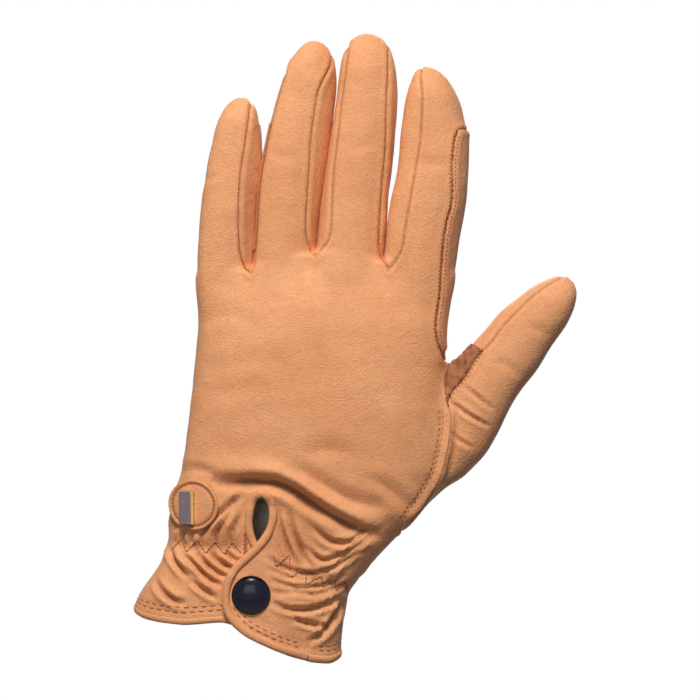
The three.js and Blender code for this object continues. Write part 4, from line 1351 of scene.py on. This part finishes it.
lower_edge = smooth_line(FLAP_EDGE, 160)[72:-3]
for k, offset in enumerate((2.7, 4.2)):
    spots, normals = flap_surface.cast(row_beside(lower_edge, offset))
    a, b, up = spaced(spots, unit(normals), 3.2, 2.3)
    good = np.linalg.norm(b - a, axis=1) < 3
    stitches(f"flap_stitches_{k}", (a[good], b[good]), up[good], 0.22, on_flap)
fork_line = front_line("thumb", 300)
fork_line = fork_line[(fork_line[:, 1] < 107.5) & (fork_line[:, 1] > 88.5)]
for k, offset in enumerate((-3.0, -4.3)):
    sewn_row(f"outseam_stitches_{k}", front_line("outseam", 120)[4:-4], offset, 2.2, 1.6, 0.2)
for k, (offset, lift) in enumerate(((0.9, 0.0), (-0.9, 0.5))):
    sewn_row(f"fork_stitches_{k}", fork_line, offset, 1.7, 1.2, 0.22, lift, "thumb")
for k, (offset, lift) in enumerate(((0.9, 0.7), (-1.0, 0.0))):
    sewn_row(f"guard_stitches_{k}", front_line("guard", 200)[12:-8], offset, 1.5, 1.1, 0.22, lift, "index")


# ---------------------------------------------------------------- badge and snap


def patch_surface(centre, radius):
    """A smooth curved patch fitted to the leather round a place: y for each x and z, as coefficients."""
    a = np.linspace(0, 2 * math.pi, 24, endpoint=False)
    circle = np.stack([np.cos(a), np.sin(a)], axis=1)
    rings = [np.array(centre) + r * circle for r in np.linspace(0.5, radius, 6)]
    spots, _ = hand_surface.cast(np.vstack(rings))
    dx, dz = spots[:, 0] - centre[0], spots[:, 2] - centre[1]
    basis = np.stack([np.ones_like(dx), dx, dz, dx * dx, dx * dz, dz * dz], axis=1)
    return np.linalg.lstsq(basis, spots[:, 1], rcond=None)[0]


BADGE = (-15.8, 48.4)
fit = patch_surface(BADGE, 8.2)


def on_badge(dx, dz, height):
    """A point on the badge's curved base, moved off it by height."""
    dx, dz, height = np.broadcast_arrays(*(np.asarray(value, float) for value in (dx, dz, height)))
    y = fit @ np.stack([np.ones_like(dx), dx, dz, dx * dx, dx * dz, dz * dz])
    slope_x, slope_z = fit[1] + 2 * fit[3] * dx + fit[4] * dz, fit[2] + fit[4] * dx + 2 * fit[5] * dz
    normal = unit(np.stack([slope_x, -np.ones_like(dx), slope_z], axis=-1))
    return np.stack([BADGE[0] + dx, y, BADGE[1] + dz], axis=-1) + normal * height[..., None], normal


def disc(name, rings, look, sides=72):
    """A round piece on the badge, from its rings' radius and height, starting and ending at its middle."""
    turn = np.linspace(0, 2 * math.pi, sides, endpoint=False)
    p = [on_badge(0, 0, rings[0][1])[0][None]]
    for radius, height in rings[1:-1]:
        edge = 1 + 0.004 * np.sin(5 * turn + 1) + 0.003 * np.sin(9 * turn)
        p.append(on_badge(radius * edge * np.cos(turn), radius * edge * np.sin(turn), height)[0])
    p.append(on_badge(0, 0, rings[-1][1])[0][None])
    p = np.vstack(p)
    # Painted shade: darker in the stitch groove at 8 mm and on the disc's lower sides.
    shade = np.concatenate([[0]] + [[0.75 * hump(radius - 8.0, 0.35) + 0.5 * (height < 0.5)] * sides
                                    for radius, height in rings[1:-1]] + [[0]])
    faces = ringed_faces(len(rings) - 2, sides)
    return closed_mesh(name, p, faces, look, shade=np.clip(shade, 0, 1), sharp=50)


rings = [(0, 1.5), (2, 1.52), (4, 1.55), (6, 1.55), (7.2, 1.5), (7.7, 1.25), (8.0, 1.0), (8.3, 1.3),
         (8.7, 1.65), (9.1, 1.7), (9.4, 1.5), (9.6, 1.1), (9.6, 0.3), (9.4, -0.25), (6, -0.4),
         (0, -0.4)]
on_hand(disc("badge_leather", rings, GUARD_LEATHER), "badge_disc")
turn = np.linspace(0, 2 * math.pi, 34, endpoint=False)
spots = [on_badge(8.0 * np.cos(turn + d), 8.0 * np.sin(turn + d), 1.15) for d in (0.02, 0.14)]
stitches("badge_stitches", (spots[0][0], spots[1][0]), unit(spots[0][1] + spots[1][1]), 0.2)


def bar(name, wide, tall, levels, look, offset):
    """A plate on the badge with rounded corners, from the inset and height of each of its outlines."""
    p, per = [], 32
    for inset, height in levels:
        w, h, r = wide / 2 - inset, tall / 2 - inset, max(0.55 - inset, 0.12)
        outline = []
        for cx, cz, start in (
                (w - r, h - r, 0), (-w + r, h - r, 90), (-w + r, -h + r, 180), (w - r, -h + r, 270)):
            for a in np.radians(np.linspace(start, start + 90, per // 4)):
                outline.append((cx + r * math.cos(a), cz + r * math.sin(a)))
        outline = np.array(outline)
        p.append(on_badge(outline[:, 0] + offset[0], outline[:, 1] + offset[1], height)[0])
    p = np.vstack(p)
    faces = [tuple(range(per))[::-1], tuple(range(len(p) - per, len(p)))]
    for i in range(len(levels) - 1):
        faces += [(i * per + k, i * per + (k + 1) % per, (i + 1) * per + (k + 1) % per, (i + 1) * per + k)
                  for k in range(per)]
    return closed_mesh(name, p, faces, look, sharp=30)


BAR_AT = (-1.6, -1.0)
FACE_AT = (BAR_AT[0] - 0.55, BAR_AT[1] - 0.3)
on_hand(bar("badge_bar_frame", 5.0, 12.5, [(0.0, 1.2), (0.0, 2.9), (0.15, 3.05)], BRASS, BAR_AT), "badge_bar",
        slot="badge_metal")
on_hand(bar("badge_bar_face", 4.1, 12.2, [(0.0, 1.6), (0.0, 3.3), (0.25, 3.6)], GUNMETAL, FACE_AT),
        slot="badge_metal")

# Cap of the press stud: a dome on the flap, leaning half as much as the leather under it.
cap_at = np.array([6.4, 0, 14.8])
spots, normals = flap_surface.cast([(cap_at[0] + 5 * math.cos(a), cap_at[2] + 5 * math.sin(a))
                                    for a in np.linspace(0, 6.28, 24)])
cap_at[1] = spots[:, 1].mean()
way = unit(np.array([0.0, -1.0, 0.0]) + 0.5 * unit(normals.mean(0)))
side = unit(np.cross(way, [0, 0, 1.0]))
high = np.cross(side, way)
profile = [(0, 2.75), (1.2, 2.74), (2.6, 2.66), (4.0, 2.48), (5.2, 2.2), (6.2, 1.78), (6.85, 1.3),
           (7.2, 0.85), (7.38, 0.5), (7.42, 0.2), (7.34, -0.1), (7.1, -0.3), (6.6, -0.42), (0, -0.45)]
turn = np.linspace(0, 2 * math.pi, 96, endpoint=False)
p = [cap_at + way * profile[0][1]]
for radius, height in profile[1:-1]:
    for a in turn:
        p.append(cap_at + way * height + (side * math.cos(a) + high * math.sin(a)) * radius)
p.append(cap_at + way * profile[-1][1])
piece = closed_mesh("snap_cap_dome", np.array(p), ringed_faces(len(profile) - 2, len(turn)), ENAMEL)
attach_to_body(piece, "snap_flap")
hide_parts("snap_cap")
for name in ("snap_stud", "snap_post", "snap_socket"):
    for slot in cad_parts[name].material_slots:
        slot.material = STEEL


# ---------------------------------------------------------------- floor, light and camera

FLOOR, WALL_TOP, WALL_RADIUS = -0.45, 2.6, 2.2  # m
plain, _, shader = new_material("studio_floor", (0.9, 0.9, 0.9), 0.9)
shader.inputs["Emission Color"].default_value = (1, 1, 1, 1)
shader.inputs["Emission Strength"].default_value = 0.6
white, _, shader = new_material("studio_wall", (0.0, 0.0, 0.0), 1.0)
shader.inputs["Specular IOR Level"].default_value = 0.0
shader.inputs["Emission Color"].default_value = (1, 1, 1, 1)
shader.inputs["Emission Strength"].default_value = 1.0
turn = np.linspace(0, 2 * math.pi, 96, endpoint=False)
around = [(WALL_RADIUS * math.cos(a), WALL_RADIUS * math.sin(a)) for a in turn]
for name, material, corners, faces in (
        ("studio_floor", plain, [(x, y, FLOOR) for x, y in around], [list(range(96))]),
        ("studio_wall", white, [(x, y, z) for z in (FLOOR, WALL_TOP) for x, y in around],
         [(k, (k + 1) % 96, 96 + (k + 1) % 96, 96 + k) for k in range(96)])):
    mesh = bpy.data.meshes.new(name)
    mesh.from_pydata(corners, [], faces)
    mesh.materials.append(material)
    made = bpy.data.objects.new(name, mesh)
    bpy.context.collection.objects.link(made)
    made.visible_diffuse = False
    made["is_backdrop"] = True


MIDDLE_OF_GLOVE = (0.044, 0.0, 0.11)
for name, where, size, power, colour in (
        ("key", (-0.03, -0.66, 0.93), (0.26, 0.24), 12.2, (1.0, 0.985, 0.96)),
        ("fill", (-0.1, -1.2, 0.2), (0.4, 0.4), 2.0, (1, 1, 1)),
        ("back", (0.15, 1.0, 0.75), (0.6, 0.5), 8.0, (1, 1, 1))):
    light = bpy.data.lights.new(name, "AREA")
    light.shape = "RECTANGLE"
    light.size, light.size_y = size
    light.energy = power
    light.color = colour
    made = bpy.data.objects.new(name, light)
    bpy.context.collection.objects.link(made)
    made.location = where
    made.rotation_euler = (Vector(MIDDLE_OF_GLOVE) - Vector(where)).to_track_quat("-Z", "Y").to_euler()

world = bpy.data.worlds.new("studio")
world.use_nodes = True
world.node_tree.nodes["Background"].inputs["Color"].default_value = (1, 1, 1, 1)
world.node_tree.nodes["Background"].inputs["Strength"].default_value = 0.03
bpy.context.scene.world = world
bpy.context.scene.view_settings.view_transform = "Standard"

lens = bpy.data.cameras.new("camera")
lens.lens = 100
lens.sensor_width = 36
camera = bpy.data.objects.new("camera", lens)
bpy.context.collection.objects.link(camera)
camera.location = (0.0439, -0.7566, 0.1078)
camera.rotation_euler = (math.radians(90), 0, 0)
bpy.context.scene.camera = camera

low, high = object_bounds()
